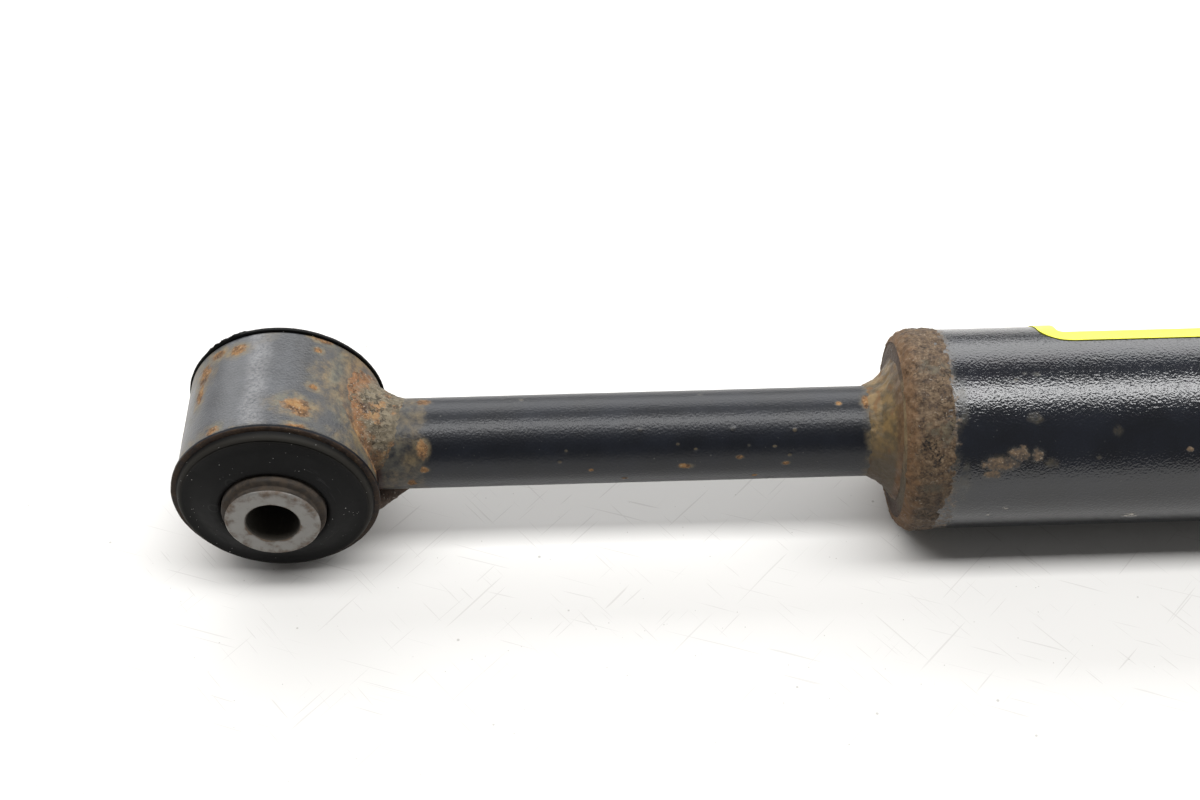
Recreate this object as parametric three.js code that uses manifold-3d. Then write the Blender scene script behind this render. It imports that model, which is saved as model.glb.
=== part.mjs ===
// Rear shock absorber lying on its side. Millimetres, +X from the eye to the rod's stud,
// Y along the lower bolt, +Z up. Inner positions are measured along X from the bolt's axis.
import * as THREE from 'three';
import { mergeVertices } from 'three/addons/utils/BufferGeometryUtils.js';
import Module from 'manifold-3d';

const wasm = await Module();
wasm.setup();

const TAU = 2 * Math.PI;
const ROUND = 32; // facets of the large turned pieces
const MEDIUM = 20; // facets of the rod and what runs on it
const SMALL = 16; // facets of the small inner pieces
const HOLE = 8; // facets of oil ports
const GAP = 0.3; // between pieces that rest on each other
const FIT = 0.2; // round pieces that sit in or on each other
const WELD_GAP = 0.12; // between a weld and what it joins
const REACH = 120; // length of a cutter that passes right through
const CUT_SPARE = 2; // how far a port's cutter stands out of what it cuts

// lower eye
const BORE_R = 7.1;
const SLEEVE_HALF = 27.7;
const SLEEVE_FACE_R = 12.2;
const SLEEVE_COLLAR_R = 14;
const SLEEVE_SHANK_R = 12;
const RING_R = 27;
const RING_HALF = 17; // to its near end
const RING_FAR = 18.1; // to its far end
const RING_INNER_R = 24.3;
const SHELL_R = 24.0;
const SHELL_INNER_R = 22.8;
const FLANGE_R = 28;
const FAR_FLANGE_R = 27.5; // rubber
const FLANGE_T = 1.3;
const RUBBER_FACE = 20.4; // near its rim
const RUBBER_SWELL = 3; // how much further out it is at the sleeve

// extension tube and welds
const TUBE_R = 12.5;
const TUBE_INNER_R = 9.5;
const UPPER_WELD_FROM = 8;
const UPPER_WELD_TO = 206;
const LOWER_WELD_FROM = -38;
const LOWER_WELD_TO = -146;

// body
const CAP_FACE = 168.6;
const CAP_CORNER = 6;
const CAP_WALL = 3;
const CAP_END = 176.7;
const SPIGOT_END = 185;
const BODY_R = 27.5;
const BODY_WALL = 1.6;
const BODY_START = 177;
const BODY_END = 437;
const LIP_INNER_R = 20;
const WELD_CROWN = 28;
const SEAM_FROM = 174.4;
const LABEL_FROM = 208;
const LABEL_TO = 308;
const LABEL_START = 103;
const LABEL_END = 207;
const LABEL_CORNER = 8;
const LABEL_R = 27.6;
const LABEL_T = 0.18;

// pressure tube and base valve
const CYLINDER_R = 19;
const CYLINDER_BORE = 17.5;
const CYLINDER_FROM = 189.3;
const CYLINDER_TO = 419.7;
const VALVE_BOLT_R = 3;
const VALVE_R = 17.1;
const VALVE_DECK = 187; // the shims' side
const VALVE_RIM = 189;
const VALVE_TOP = 200; // the intake plate's side
const WINDOW_FROM = 174;
const WINDOW_TO = 181;
const WINDOW_WIDTH = 10;
const INTAKE_PORT_OFF = 12.6; // from the axis
const SHIM_T = 0.7;
const SHIM_PACK_T = 1.5;
const GUIDE_BOSS_R = 9.3;

// rod and piston, at full extension
const ROD_R = 7;
const STUD_R = 5;
const STUD_HOLE = STUD_R + 0.15; // in what is clamped on the rod's foot and stud
const ROD_SHOULDER = 403.2;
const ROD_FOOT = 374;
const PISTON_FROM = 386;
const PISTON_TO = 399.7;
const PISTON_R = 17;
const GROOVE_R = 15.7;
const GROOVE_FROM = 389;
const GROOVE_TO = 397;
const BAND_R = 17.25;
const GUIDE_FROM = 414;
const GUIDE_TO = 432.3;
const GUIDE_POCKET = 426.3;

// upper mounting
const STACK = 635;
const STUD_END = 690;
const NUT_FLATS = 16;
const CUP_CAP_R = 28.4;
const CUP_CAP_FROM = 425;
const STOP_FROM = 573;

const rad = (degrees) => (degrees * Math.PI) / 180;

// ---- closed bodies ----

// One closed body from a geometry: shared corners, no flat triangles, faces outward.
function closed(geometry) {
  const bare = geometry.clone();
  bare.deleteAttribute('normal');
  bare.deleteAttribute('uv');
  const merged = mergeVertices(bare, 1e-4);
  const position = merged.attributes.position;
  const index = [];
  let volume = 0;
  const a = new THREE.Vector3();
  const b = new THREE.Vector3();
  const c = new THREE.Vector3();
  for (let i = 0; i < merged.index.count; i += 3) {
    const t = [0, 1, 2].map((k) => merged.index.getX(i + k));
    if (t[0] === t[1] || t[1] === t[2] || t[2] === t[0]) continue;
    index.push(...t);
    a.fromBufferAttribute(position, t[0]);
    b.fromBufferAttribute(position, t[1]);
    c.fromBufferAttribute(position, t[2]);
    volume += a.dot(b.cross(c));
  }
  if (volume < 0) index.reverse();
  merged.setIndex(index);
  return merged;
}

function toSolid(geometry) {
  const body = closed(geometry);
  return new wasm.Manifold(
    new wasm.Mesh({
      numProp: 3,
      vertProperties: new Float32Array(body.attributes.position.array),
      triVerts: new Uint32Array(body.index.array),
    }),
  );
}

function toGeometry(solid) {
  const mesh = solid.getMesh();
  const geometry = new THREE.BufferGeometry();
  geometry.setAttribute('position', new THREE.BufferAttribute(new Float32Array(mesh.vertProperties), 3));
  geometry.setIndex(new THREE.BufferAttribute(new Uint32Array(mesh.triVerts), 1));
  return geometry;
}

function cut(geometry, ...tools) {
  return toGeometry(tools.reduce((solid, tool) => solid.subtract(toSolid(tool)), toSolid(geometry)));
}

function join(geometry, ...others) {
  return toGeometry(others.reduce((solid, other) => solid.add(toSolid(other)), toSolid(geometry)));
}

function common(geometry, tool) {
  return toGeometry(toSolid(geometry).intersect(toSolid(tool)));
}

// ---- shapes ----

// A profile of [along, radius] turned about Y. A profile off the axis closes on itself.
function turnedY(profile, facets) {
  const points = profile.map(([along, radius]) => new THREE.Vector2(radius, along));
  const onAxis = profile[0][1] === 0 && profile[profile.length - 1][1] === 0;
  if (!onAxis) points.push(points[0].clone());
  return new THREE.LatheGeometry(points, facets);
}

// The same about X.
function turned(profile, facets) {
  return turnedY(profile, facets).rotateZ(-Math.PI / 2);
}

// Points of an arc in [along, radius], angles in degrees from +along towards +radius.
function arc(along, radius, size, from, to, steps) {
  return Array.from({ length: steps + 1 }, (_, i) => {
    const angle = rad(from + ((to - from) * i) / steps);
    return [along + size * Math.cos(angle), radius + size * Math.sin(angle)];
  });
}

function tube(from, to, inner, outer, facets) {
  return turned([[from, inner], [to, inner], [to, outer], [from, outer]], facets);
}

function rod(from, to, radius, facets) {
  return turned([[from, 0], [from, radius], [to, radius], [to, 0]], facets);
}

// A round cutter along X, standing off the axis by `off` at the angle `turn` in degrees.
function portAt(from, to, radius, off, turn) {
  const hole = rod(from, to, radius, HOLE);
  hole.translate(0, off, 0);
  return hole.rotateX(rad(turn));
}

function ports(from, to, radius, off, count, start = 0) {
  return Array.from({ length: count }, (_, i) =>
    portAt(from, to, radius, off, start + (360 * i) / count),
  );
}

function block(from, to, y0, y1, z0, z1) {
  const box = new THREE.BoxGeometry(to - from, y1 - y0, z1 - z0);
  return box.translate((from + to) / 2, (y0 + y1) / 2, (z0 + z1) / 2);
}

// A hexagon along X with chamfered corners at both ends.
function hexagon(from, to, flats, holeRadius) {
  const corner = flats / Math.sqrt(3);
  const prism = rod(from, to, corner, 6);
  const chamfer = 0.12 * flats;
  const barrel = turned(
    [
      [from, 0],
      [from, corner - chamfer],
      [from + 0.58 * chamfer, corner + 0.01],
      [to - 0.58 * chamfer, corner + 0.01],
      [to, corner - chamfer],
      [to, 0],
    ],
    MEDIUM,
  );
  return cut(common(prism, barrel), rod(from - 1, to + 1, holeRadius, SMALL));
}

// The sector about X between two angles in degrees from -Y, rising towards +Z.
function sector(from, to, angleFrom, angleTo) {
  const steps = Math.ceil(Math.abs(angleTo - angleFrom) / 30);
  const shape = new THREE.Shape([new THREE.Vector2(0, 0)]);
  for (let i = 0; i <= steps; i += 1) {
    const angle = rad(angleFrom + ((angleTo - angleFrom) * i) / steps);
    shape.lineTo(-REACH * Math.cos(angle), REACH * Math.sin(angle));
  }
  const wedge = new THREE.ExtrudeGeometry(shape, { depth: to - from, bevelEnabled: false });
  // shape (x, y) and depth z become (y, z) and x
  wedge.applyMatrix4(new THREE.Matrix4().set(0, 0, 1, from, 1, 0, 0, 0, 0, 1, 0, 0, 0, 0, 0, 1));
  return wedge;
}

// A sprung star washer: a clamped hub and three arms that bend down to a plate.
function starSpring(hubFrom, hubTo, inner, hubRadius, bendRadius, tipFrom, tipRadius, width) {
  const thick = hubTo - hubFrom;
  const side = new THREE.Shape([
    new THREE.Vector2(hubRadius - 1, hubFrom),
    new THREE.Vector2(bendRadius, hubFrom),
    new THREE.Vector2(tipRadius, tipFrom),
    new THREE.Vector2(tipRadius, tipFrom + thick),
    new THREE.Vector2(bendRadius, hubTo),
    new THREE.Vector2(hubRadius - 1, hubTo),
  ]);
  const arms = [0, 120, 240].map((turn) => {
    const arm = new THREE.ExtrudeGeometry(side, { depth: width, bevelEnabled: false });
    arm.translate(0, 0, -width / 2);
    arm.applyMatrix4(new THREE.Matrix4().set(0, 1, 0, 0, 1, 0, 0, 0, 0, 0, 1, 0, 0, 0, 0, 1));
    return arm.rotateX(rad(turn + 30));
  });
  return join(tube(hubFrom, hubTo, inner, hubRadius, SMALL), ...arms);
}

// ---- lower eye ----

function eyeRing() {
  const c = 0.7; // chamfer
  return turnedY(
    [
      [-RING_HALF, RING_INNER_R],
      [-RING_HALF, RING_R - c],
      [-RING_HALF + c, RING_R],
      [RING_FAR - c, RING_R],
      [RING_FAR, RING_R - c],
      [RING_FAR, RING_INNER_R],
    ],
    ROUND,
  );
}

function bushOuterSleeve() {
  const seat = -RING_HALF - GAP;
  const face = seat - FLANGE_T;
  const edge = 0.4;
  const end = RING_FAR - 0.5;
  return turnedY(
    [
      [face, SHELL_INNER_R],
      [face, FLANGE_R - edge],
      [face + edge, FLANGE_R],
      [seat, FLANGE_R],
      [seat, SHELL_R],
      [end, SHELL_R],
      [end, SHELL_INNER_R],
    ],
    ROUND,
  );
}

function bushRubber() {
  const near = -RING_HALF - 2 * GAP - FLANGE_T;
  const far = RING_FAR + GAP;
  const step = 17.6; // where the hole widens for the sleeve's collar
  const shank = SLEEVE_SHANK_R + FIT;
  const collar = SLEEVE_COLLAR_R + FIT;
  const outer = SHELL_INNER_R - FIT;
  const flatR = 23.2;
  const ridgeR = 25.4;
  const ridge = RUBBER_FACE + 0.4;
  const swell = RUBBER_FACE + RUBBER_SWELL;
  const footR = 26.7;
  const lip = 0.8;
  return turnedY(
    [
      [-step, shank],
      [-step, collar],
      [-swell, collar],
      [-RUBBER_FACE, flatR],
      [-ridge, ridgeR],
      [near, footR],
      [near, outer],
      [far, outer],
      [far, FAR_FLANGE_R],
      [far + lip, FAR_FLANGE_R],
      [ridge, ridgeR],
      [RUBBER_FACE, flatR],
      [swell, collar],
      [step, collar],
      [step, shank],
    ],
    ROUND,
  );
}

function bushInnerSleeve() {
  const chamfer = 0.5;
  const rim = 0.6;
  const groove = SLEEVE_HALF - 1.6;
  const collar = groove - 1.5;
  const collarEnd = 18;
  const half = [
    [SLEEVE_HALF, BORE_R + chamfer],
    [SLEEVE_HALF, SLEEVE_FACE_R],
    [SLEEVE_HALF - rim, SLEEVE_FACE_R + rim],
    [groove, SLEEVE_FACE_R],
    [collar + rim, SLEEVE_FACE_R],
    [collar, SLEEVE_COLLAR_R],
    [collarEnd, SLEEVE_COLLAR_R],
    [collarEnd, SLEEVE_SHANK_R],
  ];
  const bore = [SLEEVE_HALF - chamfer, BORE_R];
  const mirrored = half.map(([along, radius]) => [-along, radius]).reverse();
  return turnedY([bore, ...half, ...mirrored, [-bore[0], BORE_R]], MEDIUM);
}

function extensionTube() {
  const pipe = tube(0, CAP_FACE - GAP, TUBE_INNER_R, TUBE_R, MEDIUM);
  return cut(pipe, turnedY([[-40, 0], [-40, RING_R + GAP], [40, RING_R + GAP], [40, 0]], ROUND));
}

// The weld collar between ring and tube, between two angles about the tube.
function eyeWeld(angleFrom, angleTo, toe) {
  const inner = TUBE_R + WELD_GAP;
  const collar = turned(
    [
      [16.5, inner],
      [toe, inner],
      [toe - 0.6, inner + 0.9],
      [toe - 3.2, inner + 2.4],
      [toe - 6.6, inner + 4.6],
      [toe - 10, inner + 6.8],
      [toe - 14.2, inner + 8],
      [16.5, inner + 7.4],
    ],
    MEDIUM,
  );
  const reach = RING_HALF - 0.5;
  const bead = common(collar, sector(10, 40, angleFrom, angleTo));
  const ring = turnedY([[-40, 0], [-40, RING_R + WELD_GAP], [40, RING_R + WELD_GAP], [40, 0]], ROUND);
  return common(cut(bead, ring), block(10, 40, -reach, reach, -40, 40));
}

// ---- body ----

function baseCap() {
  const corner = CAP_FACE + CAP_CORNER;
  const inside = CAP_FACE + CAP_WALL;
  const bend = 3.5;
  const spigotR = BODY_R - BODY_WALL - FIT;
  const hollowR = 23.2;
  return turned(
    [
      [CAP_FACE, 0],
      ...arc(corner, BODY_R - CAP_CORNER, CAP_CORNER, 180, 90, 4),
      [CAP_END, BODY_R],
      [CAP_END, spigotR],
      [SPIGOT_END, spigotR],
      [SPIGOT_END, hollowR],
      ...arc(inside + bend, hollowR - bend, bend, 90, 180, 2),
      [inside, 0],
    ],
    ROUND,
  );
}

function capFilletWeld() {
  const inner = TUBE_R + WELD_GAP;
  const face = CAP_FACE - WELD_GAP;
  return turned(
    [
      [face - 7.8, inner],
      [face - 4.4, inner + 1.6],
      [face - 1.5, inner + 3.8],
      [face, inner + 7],
      [face, inner],
    ],
    MEDIUM,
  );
}

function baseWeld() {
  const inner = BODY_R + WELD_GAP;
  return turned(
    [
      [SEAM_FROM, inner],
      [SEAM_FROM + 0.8, WELD_CROWN],
      [SEAM_FROM + 5.8, WELD_CROWN],
      [SEAM_FROM + 6.8, inner],
    ],
    ROUND,
  );
}

function bodyTube() {
  const inner = BODY_R - BODY_WALL;
  const bend = 3.2;
  return turned(
    [
      [BODY_START, inner],
      [BODY_START, BODY_R],
      ...arc(BODY_END - bend, BODY_R - bend, bend, 90, 0, 3),
      [BODY_END, LIP_INNER_R],
      [BODY_END - BODY_WALL, LIP_INNER_R],
      ...arc(BODY_END - bend, BODY_R - bend, bend - BODY_WALL, 0, 90, 2),
    ],
    ROUND,
  );
}

// A sticker with rounded corners, wrapped round the body.
function label() {
  const degreesPerMm = 360 / (TAU * LABEL_R);
  const cornerSteps = 3;
  const rows = [];
  for (let i = 0; i <= cornerSteps; i += 1) {
    const angle = (Math.PI / 2) * (i / cornerSteps);
    const inset = LABEL_CORNER * (1 - Math.sin(angle));
    rows.push([LABEL_CORNER * (1 - Math.cos(angle)) * degreesPerMm, inset]);
  }
  const span = LABEL_END - LABEL_START;
  const plain = 14;
  const first = rows[cornerSteps][0];
  const middle = Array.from({ length: plain - 1 }, (_, i) => [
    first + ((span - 2 * first) * (i + 1)) / plain,
    0,
  ]);
  const all = [...rows, ...middle, ...rows.map(([turn, inset]) => [span - turn, inset]).reverse()];
  const vertices = [];
  for (const [turn, inset] of all) {
    const angle = rad(LABEL_START + turn);
    for (const radius of [LABEL_R, LABEL_R + LABEL_T]) {
      for (const x of [LABEL_FROM + inset, LABEL_TO - inset]) {
        vertices.push(x, -radius * Math.cos(angle), radius * Math.sin(angle));
      }
    }
  }
  // each row holds: inner start, inner end, outer start, outer end
  const index = [];
  const quad = (a, b, c, d) => index.push(a, b, c, a, c, d);
  for (let i = 0; i < all.length - 1; i += 1) {
    const a = 4 * i;
    const b = a + 4;
    quad(a, a + 1, b + 1, b);
    quad(a + 2, b + 2, b + 3, a + 3);
    quad(a, b, b + 2, a + 2);
    quad(a + 1, a + 3, b + 3, b + 1);
  }
  const last = 4 * (all.length - 1);
  quad(0, 2, 3, 1);
  quad(last, last + 1, last + 3, last + 2);
  const geometry = new THREE.BufferGeometry();
  geometry.setAttribute('position', new THREE.Float32BufferAttribute(vertices, 3));
  geometry.setIndex(index);
  return geometry;
}

// ---- base valve ----

function baseValveBody() {
  const floor = CAP_FACE + CAP_WALL + GAP;
  const boltHole = VALVE_BOLT_R + FIT;
  const skirt = 16.8;
  const rimR = 19.4; // carries the pressure tube
  const bossEnd = VALVE_TOP + 2.6;
  const body = turned(
    [
      [VALVE_DECK, boltHole],
      [VALVE_DECK, skirt],
      [floor, skirt],
      [floor, rimR],
      [VALVE_RIM, rimR],
      [VALVE_RIM, VALVE_R],
      [VALVE_TOP, VALVE_R],
      [VALVE_TOP, GUIDE_BOSS_R],
      [bossEnd, GUIDE_BOSS_R],
      [bossEnd, boltHole],
    ],
    MEDIUM,
  );
  const half = WINDOW_WIDTH / 2;
  const windows = [0, 90].map((turn) =>
    block(WINDOW_FROM, WINDOW_TO, -REACH, REACH, -half, half).rotateX(rad(turn)),
  );
  const through = [VALVE_DECK - CUT_SPARE, bossEnd + CUT_SPARE];
  const intake = ports(...through, 1.8, INTAKE_PORT_OFF, 6);
  const compression = ports(...through, 1.1, 5.9, 4, 45);
  return cut(body, ...windows, ...intake, ...compression);
}

// A wide shim against a face, and a smaller pack behind it.
function shims(face, hole, wide, narrow) {
  return turned(
    [
      [face, hole],
      [face, wide],
      [face - SHIM_T, wide],
      [face - SHIM_T, narrow],
      [face - SHIM_PACK_T, narrow],
      [face - SHIM_PACK_T, hole],
    ],
    SMALL,
  );
}

function baseValveShims() {
  return shims(VALVE_DECK - GAP, VALVE_BOLT_R + FIT, 8.4, 6.6);
}

function baseValveBolt() {
  const neck = VALVE_DECK - GAP - SHIM_PACK_T - GAP;
  const head = neck - 3.5;
  const headR = 5;
  const tip = VALVE_TOP + 7;
  return turned(
    [
      [head, 0],
      [head, headR],
      [neck, headR],
      [neck, VALVE_BOLT_R],
      [tip, VALVE_BOLT_R],
      [tip, 0],
    ],
    SMALL,
  );
}

// ---- piston and rod ----

function piston() {
  const boss = PISTON_TO + 2.5;
  const bossR = GUIDE_BOSS_R + 0.5;
  const body = turned(
    [
      [PISTON_FROM, STUD_HOLE],
      [PISTON_FROM, PISTON_R],
      [GROOVE_FROM, PISTON_R],
      [GROOVE_FROM, GROOVE_R],
      [GROOVE_TO, GROOVE_R],
      [GROOVE_TO, PISTON_R],
      [PISTON_TO, PISTON_R],
      [PISTON_TO, bossR],
      [boss, bossR],
      [boss, STUD_HOLE],
    ],
    MEDIUM,
  );
  const through = [PISTON_FROM - CUT_SPARE, boss + CUT_SPARE];
  const check = ports(...through, 1.6, INTAKE_PORT_OFF, 6, 30);
  const rebound = ports(...through, 0.9, 8.2, 4);
  return cut(body, ...check, ...rebound);
}

function reboundShims() {
  return shims(PISTON_FROM - GAP, STUD_HOLE, 10.4, 9);
}

function pistonRod() {
  return turned(
    [
      [ROD_FOOT, 0],
      [ROD_FOOT, STUD_R],
      [ROD_SHOULDER, STUD_R],
      [ROD_SHOULDER, ROD_R - 0.5],
      [ROD_SHOULDER + 0.5, ROD_R],
      [STACK - 0.5, ROD_R],
      [STACK, ROD_R - 0.5],
      [STACK, STUD_R],
      [STUD_END - 1, STUD_R],
      [STUD_END, STUD_R - 1],
      [STUD_END, 0],
    ],
    MEDIUM,
  );
}

function rodGuide() {
  const spigotR = CYLINDER_BORE - GAP;
  const flange = CYLINDER_TO + GAP;
  const flangeR = BODY_R - BODY_WALL - GAP;
  const bushR = 9;
  const pocketR = 13;
  return turned(
    [
      [GUIDE_FROM, bushR],
      [GUIDE_FROM, spigotR],
      [flange, spigotR],
      [flange, flangeR],
      [GUIDE_TO, flangeR],
      [GUIDE_TO, pocketR],
      [GUIDE_POCKET, pocketR],
      [GUIDE_POCKET, bushR],
    ],
    MEDIUM,
  );
}

function rodSeal() {
  const under = GUIDE_TO + GAP;
  const top = BODY_END - BODY_WALL - GAP;
  const edge = 25.4;
  const lip = ROD_R + 0.1;
  const oilLip = under - 2.2;
  const skirt = under - 3.6;
  const dustLip = BODY_END + 0.1;
  return turned(
    [
      [under, edge],
      [top - 1.3, edge],
      [top, edge - 1.4],
      [top, 10],
      [dustLip, lip + 0.8],
      [dustLip, lip],
      [(dustLip + oilLip) / 2, lip + 1.1],
      [oilLip, lip],
      [skirt, lip + 1.3],
      [skirt, lip + 2.2],
      [under, lip + 2.2],
    ],
    MEDIUM,
  );
}

function garterSpring() {
  return turned(arc(430.3, 10.45, 0.8, 0, 300, 5), SMALL);
}

function bumpCap() {
  const wall = 0.75;
  const inner = CUP_CAP_R - wall;
  const dish = BODY_END + GAP;
  const dishR = 17.5;
  const dishDepth = 2.4;
  const crown = dish + wall + dishDepth;
  const bend = 3;
  const holeR = 8.6;
  return turned(
    [
      [CUP_CAP_FROM, inner],
      [CUP_CAP_FROM, CUP_CAP_R],
      ...arc(crown - bend, CUP_CAP_R - bend, bend, 90, 0, 2),
      [crown, dishR + 1.5],
      [dish + wall, dishR],
      [dish + wall, holeR],
      [dish, holeR],
      [dish, dishR + 0.4],
      [dish + dishDepth, dishR + 1.9],
      ...arc(crown - bend, CUP_CAP_R - bend, bend - wall, 0, 90, 2),
    ],
    ROUND,
  );
}

// ---- upper mounting ----

function bumpStop() {
  const inner = ROD_R + 0.3;
  const end = STACK - GAP;
  // three bulges that widen towards the mounting, as [from the tip, radius]
  const waves = [
    [0, 14],
    [4, 17.6],
    [11, 17.8],
    [15, 15],
    [21, 20.4],
    [29, 20.6],
    [33, 16.8],
    [39, 22.6],
    [47, 22.8],
    [51, 19.4],
    [55, 21],
  ].map(([along, radius]) => [STOP_FROM + along, radius]);
  return turned([[STOP_FROM, inner], ...waves, [end, 21], [end, inner]], MEDIUM);
}

const cupProfile = (seat, way) =>
  [
    [0, STUD_R + 0.2],
    [0, 17.4],
    [1.8, 20.8],
    [4.6, 21.6],
    [4.6, 19.8],
    [3.4, 19.4],
    [2.2, 16.8],
    [2.2, STUD_R + 0.2],
  ].map(([along, radius]) => [seat + way * along, radius]);

function grommet(seat, way, height, spigot) {
  const inner = 7.6;
  const outline = [
    [0, inner],
    [0, 15.6],
    [3, 18.8],
    [5.2, 20.4],
    [height - 2, 20.6],
    [height, 18.4],
  ];
  const end = spigot
    ? [[height, 10.4], [height + 3, 10], [height + 3, inner]]
    : [[height, 10.9], [height - 3.3, 10.5], [height - 3.3, inner]];
  return turned([...outline, ...end].map(([along, radius]) => [seat + way * along, radius]), MEDIUM);
}

function topNut(from) {
  const flange = 2.2;
  const skirt = turned(
    [
      [from, STUD_HOLE],
      [from, 10.6],
      [from + 1, 10.6],
      [from + flange, 8.6],
      [from + flange, STUD_HOLE],
    ],
    SMALL,
  );
  const collar = turned(
    [
      [from + 8, STUD_HOLE],
      [from + 8, 7.2],
      [from + 9.8, 6.8],
      [from + 9.8, STUD_HOLE],
    ],
    SMALL,
  );
  return join(skirt, hexagon(from + 1.5, from + 8.4, NUT_FLATS, STUD_HOLE), collar);
}

// ---- materials ----

const paint = { color: 0x1c222b, roughness: 0.35, metalness: 0.1 };
const weldSteel = { color: 0x6b4226, roughness: 0.85, metalness: 0.3 };
const steel = { color: 0x9a9791, roughness: 0.4, metalness: 0.9 };
const darkSteel = { color: 0x565656, roughness: 0.5, metalness: 0.8 };
const chrome = { color: 0xd8dadd, roughness: 0.08, metalness: 1 };
const rubber = { color: 0x1b1b1c, roughness: 0.8, metalness: 0 };
const foam = { color: 0xc9b25a, roughness: 0.9, metalness: 0 };
const sintered = { color: 0x7a756c, roughness: 0.6, metalness: 0.8 };
const band = { color: 0x4a5a3c, roughness: 0.6, metalness: 0 };
const bronze = { color: 0xa5793c, roughness: 0.4, metalness: 0.9 };
const zinc = { color: 0xb9ae84, roughness: 0.35, metalness: 0.9 };
const sticker = { color: 0xe9c515, roughness: 0.5, metalness: 0 };

function piece(name, geometry, finish) {
  const body = closed(geometry);
  body.computeVertexNormals();
  const mesh = new THREE.Mesh(body, new THREE.MeshStandardMaterial(finish));
  mesh.name = name;
  return mesh;
}

function group(name, ...children) {
  const holder = new THREE.Group();
  holder.name = name;
  holder.add(...children);
  return holder;
}

// ---- assembly ----

const eye = group(
  'lower_eye',
  piece('eye_ring', eyeRing(), paint),
  piece('bush_outer_sleeve', bushOuterSleeve(), paint),
  piece('bush_rubber', bushRubber(), rubber),
  piece('bush_inner_sleeve', bushInnerSleeve(), steel),
  piece('extension_tube', extensionTube(), paint),
  piece('eye_weld_upper', eyeWeld(UPPER_WELD_FROM, UPPER_WELD_TO, 34.2), weldSteel),
  piece('eye_weld_lower', eyeWeld(LOWER_WELD_FROM, LOWER_WELD_TO, 35.4), weldSteel),
);

const body = group(
  'body',
  piece('cap_fillet_weld', capFilletWeld(), weldSteel),
  piece('base_cap', baseCap(), paint),
  piece('base_weld', baseWeld(), weldSteel),
  piece('body_tube', bodyTube(), paint),
  piece('label', label(), sticker),
  piece('inner_cylinder', tube(CYLINDER_FROM, CYLINDER_TO, CYLINDER_BORE, CYLINDER_R, MEDIUM), steel),
  piece('rod_guide', rodGuide(), sintered),
  piece('guide_bush', tube(GUIDE_FROM + 0.5, 426, ROD_R + 0.1, 8.8, MEDIUM), bronze),
  piece('rod_seal', rodSeal(), rubber),
  piece('garter_spring', garterSpring(), darkSteel),
  piece('bump_cap', bumpCap(), zinc),
);

const baseValve = group(
  'base_valve',
  piece('base_valve_body', baseValveBody(), sintered),
  piece('base_valve_bolt', baseValveBolt(), darkSteel),
  piece('base_valve_shims', baseValveShims(), steel),
  piece('intake_plate', tube(VALVE_TOP + GAP, VALVE_TOP + 1.1, GUIDE_BOSS_R + 0.3, 15, MEDIUM), steel),
  piece('intake_spring', starSpring(202.9, 203.3, VALVE_BOLT_R + 0.2, 4.6, 9.8, 201.4, 13, 2.6), steel),
  piece('base_valve_nut', hexagon(203.6, 206.4, 7.6, VALVE_BOLT_R + 0.2), darkSteel),
);

const pistonAndRod = group(
  'piston_and_rod',
  piece('piston_rod', pistonRod(), chrome),
  piece('piston', piston(), sintered),
  piece('piston_ring', tube(389.2, 396.8, GROOVE_R + 0.2, BAND_R, MEDIUM), band),
  piece('rebound_shims', reboundShims(), steel),
  piece('check_plate', tube(PISTON_TO + GAP, PISTON_TO + 0.9, GUIDE_BOSS_R + 0.8, 15.2, MEDIUM), steel),
  piece('check_spring', starSpring(402.4, 402.9, STUD_HOLE, 6.9, 10.4, 400.9, 13.4, 2.4), steel),
  piece('piston_nut', hexagon(376, 383.9, 15, STUD_HOLE), darkSteel),
  piece('rebound_stop_ring', tube(404.5, 407, ROD_R + 0.15, 11, MEDIUM), darkSteel),
  piece('rebound_bumper', tube(407.3, 413.6, ROD_R + 0.15, 12, MEDIUM), rubber),
);

const LOWER_SEAT = STACK + GAP;
const UPPER_SEAT = 670.2;
const upperMounting = group(
  'upper_mounting',
  piece('bump_stop', bumpStop(), foam),
  piece('lower_cup_washer', turned(cupProfile(LOWER_SEAT, 1), MEDIUM), zinc),
  piece('lower_grommet', grommet(LOWER_SEAT + 2.2 + GAP, 1, 14.8, true), rubber),
  piece('grommet_spacer', tube(LOWER_SEAT + 2.5, UPPER_SEAT - 2.5, STUD_R + 0.2, 7.2, SMALL), zinc),
  piece('upper_grommet', grommet(UPPER_SEAT - 2.2 - GAP, -1, 14.8, false), rubber),
  piece('upper_cup_washer', turned(cupProfile(UPPER_SEAT, -1), MEDIUM), zinc),
  piece('top_nut', topNut(UPPER_SEAT + GAP), zinc),
);

const damper = group('rear_shock_absorber', eye, body, baseValve, pistonAndRod, upperMounting);
// the frame's origin is under the middle of the part, on the surface it lies on
damper.position.set(-(STUD_END - FLANGE_R) / 2, 0, CUP_CAP_R);

export default group('part', damper);
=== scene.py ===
"""Rear shock absorber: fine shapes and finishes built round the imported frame.

Shapes are worked out in millimetres from the crossing of the bolt's axis and the part's axis,
with `along` running from the eye to the stud, and turned into the frame's metres by place().
"""

import math

import bmesh
import bpy
from mathutils import Matrix, Vector, noise


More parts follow.
